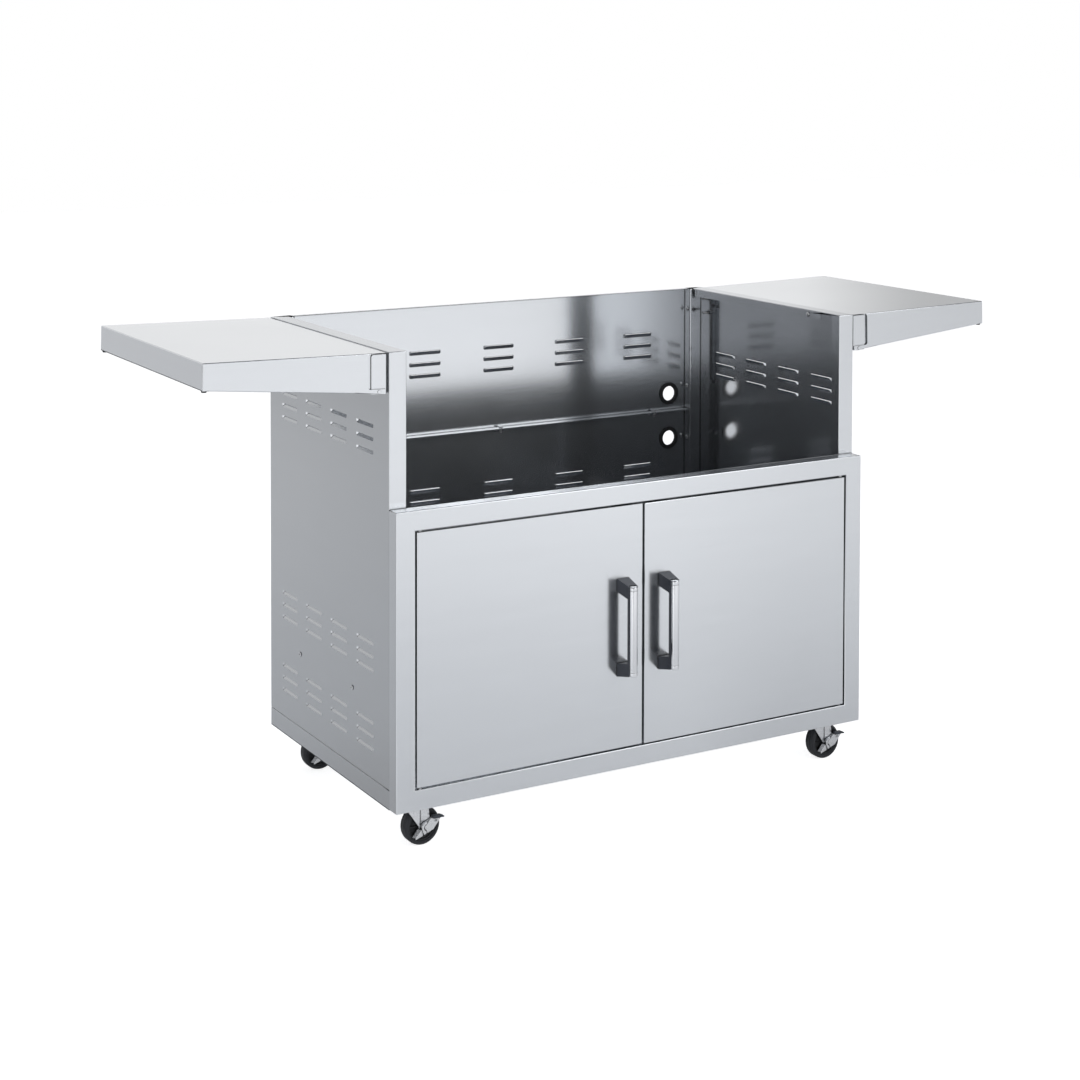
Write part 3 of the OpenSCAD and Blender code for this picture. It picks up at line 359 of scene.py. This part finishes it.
def across_scratches(tree, on_top):
    upright = add(tree, "ShaderNodeCombineXYZ", {"Y": on_top, "Z": falling(tree, on_top, 0.0, 1.0)})
    return add(tree, "ShaderNodeVectorTransform", {"Vector": upright.outputs["Vector"]}, vector_type="VECTOR",
               convert_from="OBJECT", convert_to="WORLD").outputs["Vector"]


def brushed_steel(name, roughness, inner_roughness, painted_side_shade=1.0):
    material, tree, shader = new_material(name)
    place = add(tree, "ShaderNodeTexCoord").outputs
    fine, broad, on_side, on_top = brushing(tree, place)
    outside = faces_outwards(tree, place)
    tone = between(tree, times_plus(tree, broad, 0.35, fine), 0.35, 1.0, 0.965, 1.035)
    # Painted shade: outward side faces get a darker colour by the side factor.
    tone = times(tree, tone, level_in(tree, times(tree, outside, on_side), painted_side_shade))
    # The crevice factor paints shade into the steel's colour.
    tint(tree, shader, STEEL_COLOUR, times(tree, tone, painted_crevice_shade(tree, 0.05)))
    cloud = add(tree, "ShaderNodeTexNoise", {"Vector": place["Object"], "Scale": 5.0, "Detail": 3.0})
    centre = (CLOUD_ROUGHNESS + SCRATCH_ROUGHNESS) / 2
    rough = between(tree, outside, 0.0, 1.0, inner_roughness - centre, roughness - centre)
    rough = times_plus(tree, cloud.outputs["Fac"], CLOUD_ROUGHNESS, rough)
    rough = times_plus(tree, fine, SCRATCH_ROUGHNESS, rough)
    tree.links.new(rough, shader.inputs["Roughness"])
    bump = add(tree, "ShaderNodeBump", {"Height": fine, "Strength": 0.05, "Distance": 0.0001})
    tree.links.new(bump.outputs["Normal"], shader.inputs["Normal"])
    tree.links.new(across_scratches(tree, on_top), shader.inputs["Tangent"])
    shader.inputs["Metallic"].default_value = 0.93
    shader.inputs["Anisotropic"].default_value = 0.6
    return material


STEEL = brushed_steel("brushed_steel", 0.20, 0.14)
# Copies of the steel with painted shade on their outward sides.
SIDE_STEEL_PAINTED_SHADE = brushed_steel("side_steel_painted_shade", 0.22, 0.13, painted_side_shade=0.68)
FRAME_STEEL_PAINTED_SHADE = brushed_steel("frame_steel_painted_shade", 0.20, 0.14, painted_side_shade=0.76)
print("steel nodes", len(STEEL.node_tree.nodes))

# %% [markdown]
# The other finishes have a fine grain with no direction: zinc plate on forks, levers and screws, moulded
# plastic on handles and hubs, and rubber on tyres, grommets and bumpers. One noise drives the tone, the
# roughness and the bump together, because on a real surface they change at the same spots.

# %% Plain finishes
def grained(name, colour, roughness, metallic, scale, contrast, bump_depth):
    material, tree, shader = new_material(name)
    place = add(tree, "ShaderNodeTexCoord").outputs["Object"]
    grain = add(tree, "ShaderNodeTexNoise", {"Vector": place, "Scale": scale, "Detail": 4.0}).outputs["Fac"]
    tone = between(tree, grain, 0.3, 0.7, 1 - contrast, 1 + contrast)
    # The crevice factor paints shade into this colour.
    tint(tree, shader, colour, times(tree, tone, painted_crevice_shade(tree, 0.1)))
    rough = between(tree, grain, 0.3, 0.7, roughness - 0.06, roughness + 0.06)
    tree.links.new(rough, shader.inputs["Roughness"])
    bump = add(tree, "ShaderNodeBump", {"Height": grain, "Strength": 0.4, "Distance": bump_depth})
    tree.links.new(bump.outputs["Normal"], shader.inputs["Normal"])
    shader.inputs["Metallic"].default_value = metallic
    return material


ZINC = grained("zinc", (0.66, 0.67, 0.69), 0.27, 1.0, 420.0, 0.08, 0.0001)
PLASTIC = grained("handle_plastic", (0.040, 0.046, 0.061), 0.48, 0.0, 900.0, 0.08, 0.0001)
RUBBER = grained("rubber", (0.012, 0.012, 0.014), 0.62, 0.0, 500.0, 0.2, 0.0001)
TYRE = grained("tyre", (0.014, 0.016, 0.021), 0.55, 0.0, 300.0, 0.25, 0.0002)
HUB = grained("wheel_hub", (0.014, 0.015, 0.018), 0.45, 0.0, 300.0, 0.2, 0.0001)
BAR = grained("handle_steel", (0.68, 0.69, 0.71), 0.20, 1.0, 1500.0, 0.03, 0.0)
print("finishes", len(bpy.data.materials))

# %% [markdown]
# Each node of the frame has a place for its finish. Its name tells what the piece is, so a list of words
# gives the finish, tried from the top, and every node that no word fits is plain brushed steel.

# %% Dress the nodes
FINISHES = [
    (("_tyre",), TYRE),
    (("_hub",), HUB),
    (("grommet", "bumper"), RUBBER),
    (("_handle_body", "door_catches"), PLASTIC),
    (("_handle_bar", "_handle_tips"), BAR),
    (("fork", "axle", "brake", "screws", "bolts", "plates", "pins"), ZINC),
    # These two finishes carry painted shade on their outward sides.
    (("side_panel", "base_pan"), SIDE_STEEL_PAINTED_SHADE),
    (("front_frame",), FRAME_STEEL_PAINTED_SHADE),
    (("",), STEEL)
]

for name, node in NODES.items():
    finish = next(finish for words, finish in FINISHES if any(word in name for word in words))
    for place in node.material_slots:
        place.material = finish
print("dressed nodes", len(NODES))

# %% [markdown]
# The panels are folded from flat sheet, and every fold has a small radius that catches the light. The
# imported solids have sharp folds. Cutting radii into them would be slow, so modifiers add them: nodes mark
# each outward edge between two broad faces as a fold, and a bevel rounds only the marked edges.
# The sheet's thin cut edges stay sharp. The same nodes keep steep edges crisp in the shading.

# %% Fold marks
BROAD_FACE = 0.0015
FOLD_ANGLE = math.radians(60)
SHARP_ANGLE = math.radians(20)


def fold_marks():
    tree = bpy.data.node_groups.new("fold_marks", "GeometryNodeTree")
    tree.interface.new_socket("Geometry", in_out="INPUT", socket_type="NodeSocketGeometry")
    tree.interface.new_socket("Geometry", in_out="OUTPUT", socket_type="NodeSocketGeometry")
    start = add(tree, "NodeGroupInput")
    turn = add(tree, "GeometryNodeInputMeshEdgeAngle").outputs["Signed Angle"]
    folded = add(tree, "FunctionNodeCompare", {0: turn, 1: FOLD_ANGLE}, operation="GREATER_THAN")
    area = add(tree, "GeometryNodeInputMeshFaceArea").outputs["Area"]
    broad = add(tree, "FunctionNodeCompare", {0: area, 1: BROAD_FACE}, operation="GREATER_THAN")
    share = add(tree, "GeometryNodeFieldOnDomain", {0: broad.outputs[0]}, data_type="FLOAT", domain="FACE")
    both = add(tree, "FunctionNodeCompare", {0: share.outputs[0], 1: 0.99}, operation="GREATER_THAN")
    marked = add(tree, "FunctionNodeBooleanMath", {0: folded.outputs[0], 1: both.outputs[0]}, operation="AND")
    smooth = add(tree, "GeometryNodeSetShadeSmooth", {"Geometry": start.outputs["Geometry"]}, domain="FACE")
    steep = add(tree, "GeometryNodeInputMeshEdgeAngle").outputs["Unsigned Angle"]
    sharp = add(tree, "FunctionNodeCompare", {0: steep, 1: SHARP_ANGLE}, operation="GREATER_THAN")
    crisp = add(tree, "GeometryNodeSetShadeSmooth", {
        "Geometry": smooth.outputs["Geometry"], "Selection": sharp.outputs[0], "Shade Smooth": False
    }, domain="EDGE")
    kept = add(tree, "GeometryNodeStoreNamedAttribute", {
        "Geometry": crisp.outputs["Geometry"], "Name": "bevel_weight_edge", "Value": marked.outputs[0]
    }, data_type="FLOAT", domain="EDGE")
    add(tree, "NodeGroupOutput", {"Geometry": kept.outputs["Geometry"]})
    return tree


FOLD_MARKS = fold_marks()
print("fold nodes", len(FOLD_MARKS.nodes))

# %% [markdown]
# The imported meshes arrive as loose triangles, so they are first welded into one skin with flat faces, which
# gives the bevel whole edges to work on. Moulded and stamped pieces have no folds, only slightly
# blunt edges, and get a plain narrow bevel.

# %% Folded edges
BEND_RADIUS = 0.0016
STAMPED_EDGE = 0.0005
MOULDED_EDGE = 0.0009
BLUNT_ANGLE = math.radians(38)


def one_skin(node):
    weld = node.modifiers.new("weld", "WELD")
    weld.merge_threshold = 0.00001
    flat = node.modifiers.new("flat", "DECIMATE")
    flat.decimate_type = "DISSOLVE"
    flat.angle_limit = math.radians(0.5)


def round_folds(name):
    node = NODES[name]
    one_skin(node)
    marks = node.modifiers.new("marks", "NODES")
    marks.node_group = FOLD_MARKS
    bevel = node.modifiers.new("folds", "BEVEL")
    bevel.limit_method = "WEIGHT"
    bevel.width = BEND_RADIUS
    bevel.segments = 3
    bevel.use_clamp_overlap = False
    normals = node.modifiers.new("normals", "WEIGHTED_NORMAL")
    normals.weight = 100
    normals.keep_sharp = True


def soft_edges(node, width, segments=2):
    bevel = node.modifiers.new("edges", "BEVEL")
    bevel.limit_method = "ANGLE"
    bevel.angle_limit = BLUNT_ANGLE
    bevel.width = width
    bevel.segments = segments
    bevel.harden_normals = True


folded = [name for name in NODES if name.endswith(("_panel", "_pan", "_frame", "_skin", "_top", "_channel"))]
folded += ["inner_rails", "caster_rails"]
for name in folded:
    round_folds(name)
for name in NODES:
    if name.endswith(("_fork", "_brackets", "_arms")):
        one_skin(NODES[name])
        soft_edges(NODES[name], STAMPED_EDGE)
    if name.endswith("_handle_body"):
        one_skin(NODES[name])
        soft_edges(NODES[name], MOULDED_EDGE, 3)
print("folded", len(folded))

# %% [markdown]
# The small parts are turned, stamped or moulded. They could start from stock cylinders and boxes. Each is
# drawn here as a section or an outline instead and then turned or thickened, which gives its true profile
# and even faces.

# %% Turned shapes and plates
MM = 0.001


def turned(profile, steps=40, closed=False):
    verts, rings, faces = [], [], []
    for radius, height in profile:
        if radius < 1e-9:
            verts.append(Vector((0, 0, height)))
            rings.append([len(verts) - 1])
            continue
        rings.append(list(range(len(verts), len(verts) + steps)))
        for step in range(steps):
            angle = 2 * math.pi * step / steps
            verts.append(Vector((radius * math.cos(angle), radius * math.sin(angle), height)))
    pairs = list(zip(rings, rings[1:]))
    if closed:
        pairs.append((rings[-1], rings[0]))
    for low, high in pairs:
        for step in range(steps):
            after = (step + 1) % steps
            corners = [low[step % len(low)], low[after % len(low)],
                       high[after % len(high)], high[step % len(high)]]
            face = tuple(dict.fromkeys(corners))
            if len(face) > 2:
                faces.append(face)
    return verts, faces


def plate(outline, near, far):
    count = len(outline)
    verts = [Vector((x, near, z)) for x, z in outline] + [Vector((x, far, z)) for x, z in outline]
    faces = [tuple(range(count)), tuple(range(count, 2 * count))]
    for i in range(count):
        j = (i + 1) % count
        faces.append((i, j, count + j, count + i))
    return verts, faces


def moved(shape, matrix):
    verts, faces = shape
    return [matrix @ vert for vert in verts], faces


def joined(shapes):
    verts, faces = [], []
    for some_verts, some_faces in shapes:
        faces += [tuple(index + len(verts) for index in face) for face in some_faces]
        verts += some_verts
    return verts, faces


print("points in a turned ring of 40", len(turned([(1.0, 0.0)])[0]))

# %% [markdown]
# A new piece needs a mesh with outward faces, a finish, a body to ride on and the nodes that it stands for.
# It also has to lie where they lie. One node may hold several solids, so a helper walks from corner to
# corner along the edges and gives the box of each solid.

# %% Pieces in place of nodes
def piece(name, shape, body, material, replaced=(), edge=0.0):
    verts, faces = shape
    mesh = bpy.data.meshes.new(name)
    mesh.from_pydata([tuple(vert) for vert in verts], [], faces)
    skin = bmesh.new()
    skin.from_mesh(mesh)
    bmesh.ops.recalc_face_normals(skin, faces=skin.faces)
    skin.to_mesh(mesh)
    skin.free()
    mesh.shade_smooth()
    mesh.set_sharp_from_angle(angle=math.radians(35))
    mesh.materials.append(material)
    made = bpy.data.objects.new(name, mesh)
    bpy.context.scene.collection.objects.link(made)
    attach(made, body)
    if replaced:
        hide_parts(*replaced)
    if edge:
        soft_edges(made, edge)


def solid_boxes(name):
    skin = bmesh.new()
    skin.from_mesh(NODES[name].data)
    bmesh.ops.remove_doubles(skin, verts=skin.verts, dist=0.00001)
    seen, boxes = set(), []
    for first in skin.verts:
        if first in seen:
            continue
        seen.add(first)
        waiting, corners = [first], []
        while waiting:
            vert = waiting.pop()
            corners.append(vert.co.copy())
            for link in vert.link_edges:
                other = link.other_vert(vert)
                if other not in seen:
                    seen.add(other)
                    waiting.append(other)
        low = Vector([min(corner[axis] for corner in corners) for axis in range(3)])
        high = Vector([max(corner[axis] for corner in corners) for axis in range(3)])
        boxes.append((low, high))
    skin.free()
    return boxes


print("side screws", len(solid_boxes("side_screws")))

# %% [markdown]
# The sheets are held by small pan-head screws with a cross recess, each with a hexagon nut and a few turns
# of bare thread inside. They could be scattered copies of one object, but each set is one mesh
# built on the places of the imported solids, so that every screw sits in its own hole. A head's recess is
# made by lowering the points of its dome that lie within a cross.

# %% Heads, nuts and threads
def pan_head(radius, height):
    profile = [(0.0, height)]
    for ring in range(1, 11):
        share = ring / 10
        profile.append((radius * share, height * (1 - 0.5 * share ** 3)))
    profile += [(radius, 0.0), (0.0, 0.0)]
    verts, faces = turned(profile, 32)
    recess_width, recess_reach, recess_depth = 0.17 * radius, 0.58 * radius, 0.45 * height
    for vert in verts:
        across, along = sorted((abs(vert.x), abs(vert.y)))
        on_dome = vert.z > 0.4 * height
        if on_dome and across < recess_width and along < recess_reach:
            vert.z -= recess_depth
    return verts, faces


def hexagon(radius, low, high):
    flat = radius * math.cos(math.pi / 6)
    chamfer = 0.6 * (radius - flat)
    verts, faces = turned([(0.0, low), (flat, low), (radius, low + chamfer), (radius, high - chamfer),
                           (flat, high), (0.0, high)], 24)
    for vert in verts:
        far = math.hypot(vert.x, vert.y)
        if far > flat * 1.001:
            angle = math.atan2(vert.y, vert.x) % (math.pi / 3) - math.pi / 6
            vert.xy *= flat / math.cos(angle) / far
    return verts, faces


def thread(radius, low, high):
    pitch = 0.8 * MM
    root = 0.84 * radius
    ridges = max(1, int((high - low) / pitch))
    step = (high - low) / ridges
    profile = [(0.0, low), (root, low)]
    for ridge in range(ridges):
        profile.append((radius, low + (ridge + 0.5) * step))
        profile.append((root, low + (ridge + 1) * step))
    profile.append((0.0, high))
    return turned(profile, 12)


print("points on a screw head", len(pan_head(1.0, 1.0)[0]))

# %% [markdown]
# A fastener's grip is what is left of its length between the head, the nut and the bare tail. Its length
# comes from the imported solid, whose longest side also gives the direction. Which end holds the head
# depends on the place: heads face outwards, but at the top lips they face into the cabinet.

# %% Fasteners
def fastener(length, radius, head_radius, head_height, nut_height, tail, hex_head=False):
    grip = length - head_height - nut_height - tail
    if hex_head:
        head = hexagon(head_radius, 0.0, head_height)
    else:
        head = pan_head(head_radius, head_height)
    return joined([
        head,
        turned([(0.0, 0.0), (radius, 0.0), (radius, -grip), (0.0, -grip)], 16),
        hexagon(head_radius, -grip - nut_height, -grip),
        thread(radius, -grip - nut_height - tail, -grip - nut_height)
    ])


def fasteners(name, material, head_towards, **sizes):
    shapes = []
    for low, high in solid_boxes(name):
        size = high - low
        axis = max(range(3), key=lambda each: size[each])
        middle = (low + high) / 2
        sign = head_towards(middle, axis)
        up = Vector([sign if each == axis else 0 for each in range(3)])
        seat = middle + up * (size[axis] / 2 - sizes["head_height"])
        place = Matrix.Translation(seat) @ up.to_track_quat("Z", "Y").to_matrix().to_4x4()
        shapes.append(moved(fastener(size[axis], **sizes), place))
    piece(name + "_cut", joined(shapes), "cabinet", material, [name])
    print(name, len(shapes), "fasteners")


LIP_HEIGHT = 0.6


def outwards(middle, axis):
    return 1 if middle.x > 0 else -1


def side_direction(middle, axis):
    lip_screw = middle.z > LIP_HEIGHT
    return -outwards(middle, axis) if lip_screw else outwards(middle, axis)


def back_direction(middle, axis):
    return 1 if axis == 2 else -outwards(middle, axis)


SMALL = dict(radius=2.4 * MM, head_radius=4.6 * MM, head_height=2.4 * MM, nut_height=3.4 * MM)
fasteners("side_screws", ZINC, side_direction, tail=5 * MM, **SMALL)
fasteners("back_screws", ZINC, back_direction, tail=5 * MM, **SMALL)
fasteners("shelf_bracket_bolts", ZINC, outwards, tail=14 * MM, **SMALL)
fasteners("caster_bolts", ZINC, lambda middle, axis: -1, tail=1 * MM, hex_head=True,
          radius=3 * MM, head_radius=5.4 * MM, head_height=3 * MM, nut_height=3 * MM)

# %% [markdown]
# Each hose hole has a black rubber grommet whose lips grip both sides of the sheet, and each shelf has two
# rubber bumpers. Both are moulded and round, with soft rims. A torus would do for a rim alone, but not for
# a lip with a groove, so their whole sections are turned about their axes.

# %% Rubber
def round_corner(profile, centre_r, centre_h, radius, start, end, steps=6):
    for step in range(steps + 1):
        angle = math.radians(start + (end - start) * step / steps)
        profile.append((centre_r + radius * math.cos(angle), centre_h + radius * math.sin(angle)))


LIP_THICK = 3 * MM


def grommet(neck):
    lip, rim = 24.5 * MM, 1.45 * MM
    hole, groove = 16.5 * MM, 19 * MM
    profile = []
    for sign in (-1, 1):
        side = []
        outer = sign * (neck / 2 + LIP_THICK)
        side.append((groove, sign * neck / 2))
        side.append((lip - rim, sign * neck / 2))
        round_corner(side, lip - rim, outer - sign * rim, rim, -90 * sign, 90 * sign, 8)
        round_corner(side, hole + rim, outer - sign * rim, rim, 90 * sign, 180 * sign, 4)
        profile += side if sign < 0 else side[::-1]
    return turned(profile, 48, closed=True)


grommets = []
for low, high in solid_boxes("hose_grommets"):
    middle = (low + high) / 2
    neck = high.y - low.y - 2 * LIP_THICK
    grommets.append(moved(grommet(neck), Matrix.Translation(middle) @ Matrix.Rotation(math.pi / 2, 4, "X")))
piece("hose_grommet_rings", joined(grommets), "cabinet", RUBBER, ["hose_grommets"])

BUMPER_RIM = 1.2 * MM
for side in ("left", "right"):
    shapes = []
    for low, high in solid_boxes(side + "_shelf_bumpers"):
        middle = (low + high) / 2
        radius = (high.y - low.y) / 2
        profile = [(0.0, high.z), (radius, high.z)]
        round_corner(profile, radius - BUMPER_RIM, low.z + BUMPER_RIM, BUMPER_RIM, 0, -90, 5)
        profile.append((0.0, low.z))
        shapes.append(moved(turned(profile, 24), Matrix.Translation((middle.x, middle.y, 0))))
    piece(side + "_bumper_pair", joined(shapes), side + "_shelf", RUBBER, [side + "_shelf_bumpers"])
print("grommets", len(grommets))

# %% [markdown]
# A handle is a bright steel bar, capped at both ends, in a dark moulded body. A fine line shows where each
# cap meets the bar, and the cap's outer edge is rounded. A texture could draw the line, but it would catch
# no light, so the bar and each cap are turned pieces whose edges meet in a small groove.

# %% Handle bars and tips
JOINT_EDGE = 0.5 * MM
CAP_EDGE = 2.2 * MM


def bar_section(low, high, radius, low_edge, high_edge):
    profile = [(0.0, low)]
    round_corner(profile, radius - low_edge, low + low_edge, low_edge, -90, 0, 5)
    round_corner(profile, radius - high_edge, high - high_edge, high_edge, 0, 90, 5)
    profile.append((0.0, high))
    return turned(profile, 56)


for side in ("left", "right"):
    low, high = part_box(side + "_handle_bar")
    middle = (Vector(low) + Vector(high)) / 2
    radius = (high[0] - low[0]) / 2
    at_bar = Matrix.Translation((middle.x, middle.y, 0))
    bar = moved(bar_section(low[2], high[2], radius, JOINT_EDGE, JOINT_EDGE), at_bar)
    piece(side + "_bar", bar, side + "_door", BAR, [side + "_handle_bar"])
    ends = []
    for tip_low, tip_high in solid_boxes(side + "_handle_tips"):
        upper = tip_low.z > middle.z
        edges = (JOINT_EDGE, CAP_EDGE) if upper else (CAP_EDGE, JOINT_EDGE)
        ends.append(moved(bar_section(tip_low.z, tip_high.z, radius, *edges), at_bar))
    piece(side + "_bar_caps", joined(ends), side + "_door", BAR, [side + "_handle_tips"])
print("handle bar radius", round(radius, 5))

# %% [markdown]
# Each caster has a black rubber tyre on a ribbed plastic hub. The tyre has a ring on its wall and two
# grooves in its tread. Half of each section is written in millimetres from the axle outwards and
# mirrored, because a moulded wheel is the same on both sides. The ribs are eight thin plates.

# %% Wheels
def in_metres(points):
    return [(first * MM, second * MM) for first, second in points]


def mirrored_profile(points):
    return in_metres([(r, -w) for r, w in points] + [(r, w) for r, w in reversed(points)])


TYRE_SECTION = mirrored_profile([
    (27.0, 10.0), (28.5, 12.0), (30.2, 12.0), (30.7, 12.5), (32.1, 12.5), (32.7, 11.8), (33.6, 11.2),
    (34.8, 10.2), (35.6, 8.9), (36.0, 7.4), (36.0, 5.2), (35.3, 5.0), (35.3, 4.2), (36.0, 4.0)
])
HUB_SECTION = mirrored_profile([
    (4.05, 13.0), (9.4, 13.0), (10.0, 12.4), (10.2, 6.3), (10.8, 6.0), (23.4, 6.0), (24.0, 6.3),
    (25.0, 9.7), (25.3, 10.0), (27.0, 10.0)
])


def hub_ribs():
    ribs = []
    outline = in_metres([(9.6, -0.9), (24.6, -0.9), (24.6, 0.9), (9.6, 0.9)])
    for count in range(8):
        turn = Matrix.Rotation(math.radians(45 * count), 4, "Y")
        ribs.append(moved(plate(outline, -9.2 * MM, 9.2 * MM), turn))
    return joined(ribs)


def about_y(shape):
    return moved(shape, Matrix.Rotation(math.pi / 2, 4, "X"))


CASTERS = [end + "_" + side for end in ("front", "rear") for side in ("left", "right")]
axle_places = {}
for caster in CASTERS:
    low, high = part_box(caster + "_tyre")
    place = (Vector(low) + Vector(high)) / 2
    axle_places[caster] = place
    there = Matrix.Translation(place)
    tread = moved(about_y(turned(TYRE_SECTION, 72, closed=True)), there)
    piece(caster + "_tread", tread, caster + "_wheel", TYRE, [caster + "_tyre"])
    hub = joined([about_y(turned(HUB_SECTION, 48, closed=True)), hub_ribs()])
    piece(caster + "_wheel_hub", moved(hub, there), caster + "_wheel", HUB, [caster + "_hub"])
print("axle height", round(axle_places["front_left"].z, 4))

# %% [markdown]
# An axle runs through each fork, with a nut at one end, and carries a stamped brake lever with a pad.
# The pad is given the dark plastic finish, which paints the dark reflection on the pad's inside: painted
# reflection. The lever is pressed in steps: a flat plate, a raised rim round the axle, three short ribs and a
# ridge that runs down to its tail. One plate bent by modifiers would give soft steps, and the stamping's
# steps are crisp, so it is built up from plates of different heights.

# %% Axles
AXLE_SECTION = in_metres([(0.0, 16.6), (4.0, 16.6), (4.0, -21.0), (3.4, -21.6), (0.0, -21.6)])
NUT_RADIUS = 6.4 * MM
axle_shape = joined([
    about_y(turned(AXLE_SECTION, 32)),
    about_y(hexagon(NUT_RADIUS, -20.5 * MM, -16.6 * MM))
])
for caster in CASTERS:
    axle = moved(axle_shape, Matrix.Translation(axle_places[caster]))
    piece(caster + "_axle_pin", axle, caster + "_caster", ZINC, [caster + "_axle"])
print("points on an axle", len(axle_shape[0]))

# %% Lever outlines
def arc(x, z, radius, start, end, steps):
    points = []
    round_corner(points, x, z, radius, start, end, steps)
    return points


LEVER_BODY = in_metres(arc(0, 0, 5.3, 95, 250, 12) + [
    (1.9, -10.9), (5.9, -11.7), (17.5, -6.7), (33.4, 13.1), (17.5, 14.2), (14.2, 16.8), (9.0, 12.8),
    (4.4, 11.2)
])
LEVER_RIM = in_metres([(3.8, 10.9), (-2.5, 9.0), (-7.4, 3.9), (-7.0, -2.0), (-5.2, -7.0), (-2.7, -12.3),
                       (1.6, -10.9)] + arc(3.8, -0.2, 6.8, 250, 95, 12))
LEVER_FACE = in_metres(arc(3.8, -0.2, 4.6, 95, 250, 10) + [
    (5.9, -10.9), (17.0, -6.2), (32.2, 12.4), (17.5, 13.4), (14.2, 15.6), (9.4, 12.0)
])
LEVER_PAD = in_metres([(13.5, 20.1), (30.5, 19.9), (37.8, 16.6), (37.2, 14.6), (31.0, 15.0),
                       (17.5, 14.6), (14.5, 16.8)])
print("points on a lever's outline", len(LEVER_BODY))

# %% Lever tail and ribs
def lever_tail():
    left = [(-13.5, -2.1), (-24.3, -15.7)]
    ridge = [(-7.5, -3.5), (-19.5, -16.5)]
    right = [(-4.9, -6.0), (-4.9, -14.9), (-19.2, -19.9)]
    front = [Vector((x, -17.5, z)) for x, z in left] + [Vector((x, -22.0, z)) for x, z in ridge]
    front += [Vector((x, -21.5, z)) for x, z in right]
    back = [vert + Vector((0.6, 2.2, 0.3)) for vert in front]
    verts = [vert * MM for vert in front + back]
    faces = [(0, 1, 3, 2), (2, 3, 6, 5), (2, 5, 4), (7, 8, 10, 9), (9, 10, 13, 12), (9, 12, 11),
             (0, 1, 8, 7), (1, 3, 10, 8), (3, 6, 13, 10), (6, 5, 12, 13), (5, 4, 11, 12), (4, 2, 9, 11),
             (2, 0, 7, 9)]
    return verts, faces


def lever_ribs():
    ribs = []
    for count in range(3):
        left = 19.6 + 1.9 * count
        outline = in_metres([(left, 7.6), (left + 0.9, 7.6), (left + 1.9, 11.2), (left + 1.0, 11.2)])
        ribs.append(plate(outline, -22.6 * MM, -21.4 * MM))
    return joined(ribs)


# %% Brake levers
RIVET_SECTION = in_metres([(0.0, 18.2), (3.2, 18.2), (3.2, 19.2), (2.2, 20.2), (0.0, 20.6)])
lever_shape = joined([
    plate(LEVER_BODY, -18.8 * MM, -16.8 * MM),
    plate(LEVER_RIM, -23.6 * MM, -17.6 * MM),
    plate(LEVER_FACE, -21.5 * MM, -17.6 * MM),
    lever_ribs(),
    lever_tail(),
    about_y(turned(RIVET_SECTION, 24))
])
pad_shape = plate(LEVER_PAD, -27 * MM, -17.2 * MM)

for caster in CASTERS:
    there = Matrix.Translation(axle_places[caster])
    piece(caster + "_lever", moved(lever_shape, there), caster + "_brake_lever", ZINC,
          [caster + "_brake"], edge=0.35 * MM)
    # The pad's dark plastic finish is painted reflection.
    piece(caster + "_pad", moved(pad_shape, there), caster + "_brake_lever", PLASTIC,
          [caster + "_brake"], edge=0.8 * MM)
print("casters dressed", len(CASTERS))

# %% [markdown]
# The dressed cart should keep the size of the imported one. Its bounds are measured here, leaving out the
# floor.

# %% Measure and finish
low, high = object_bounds()
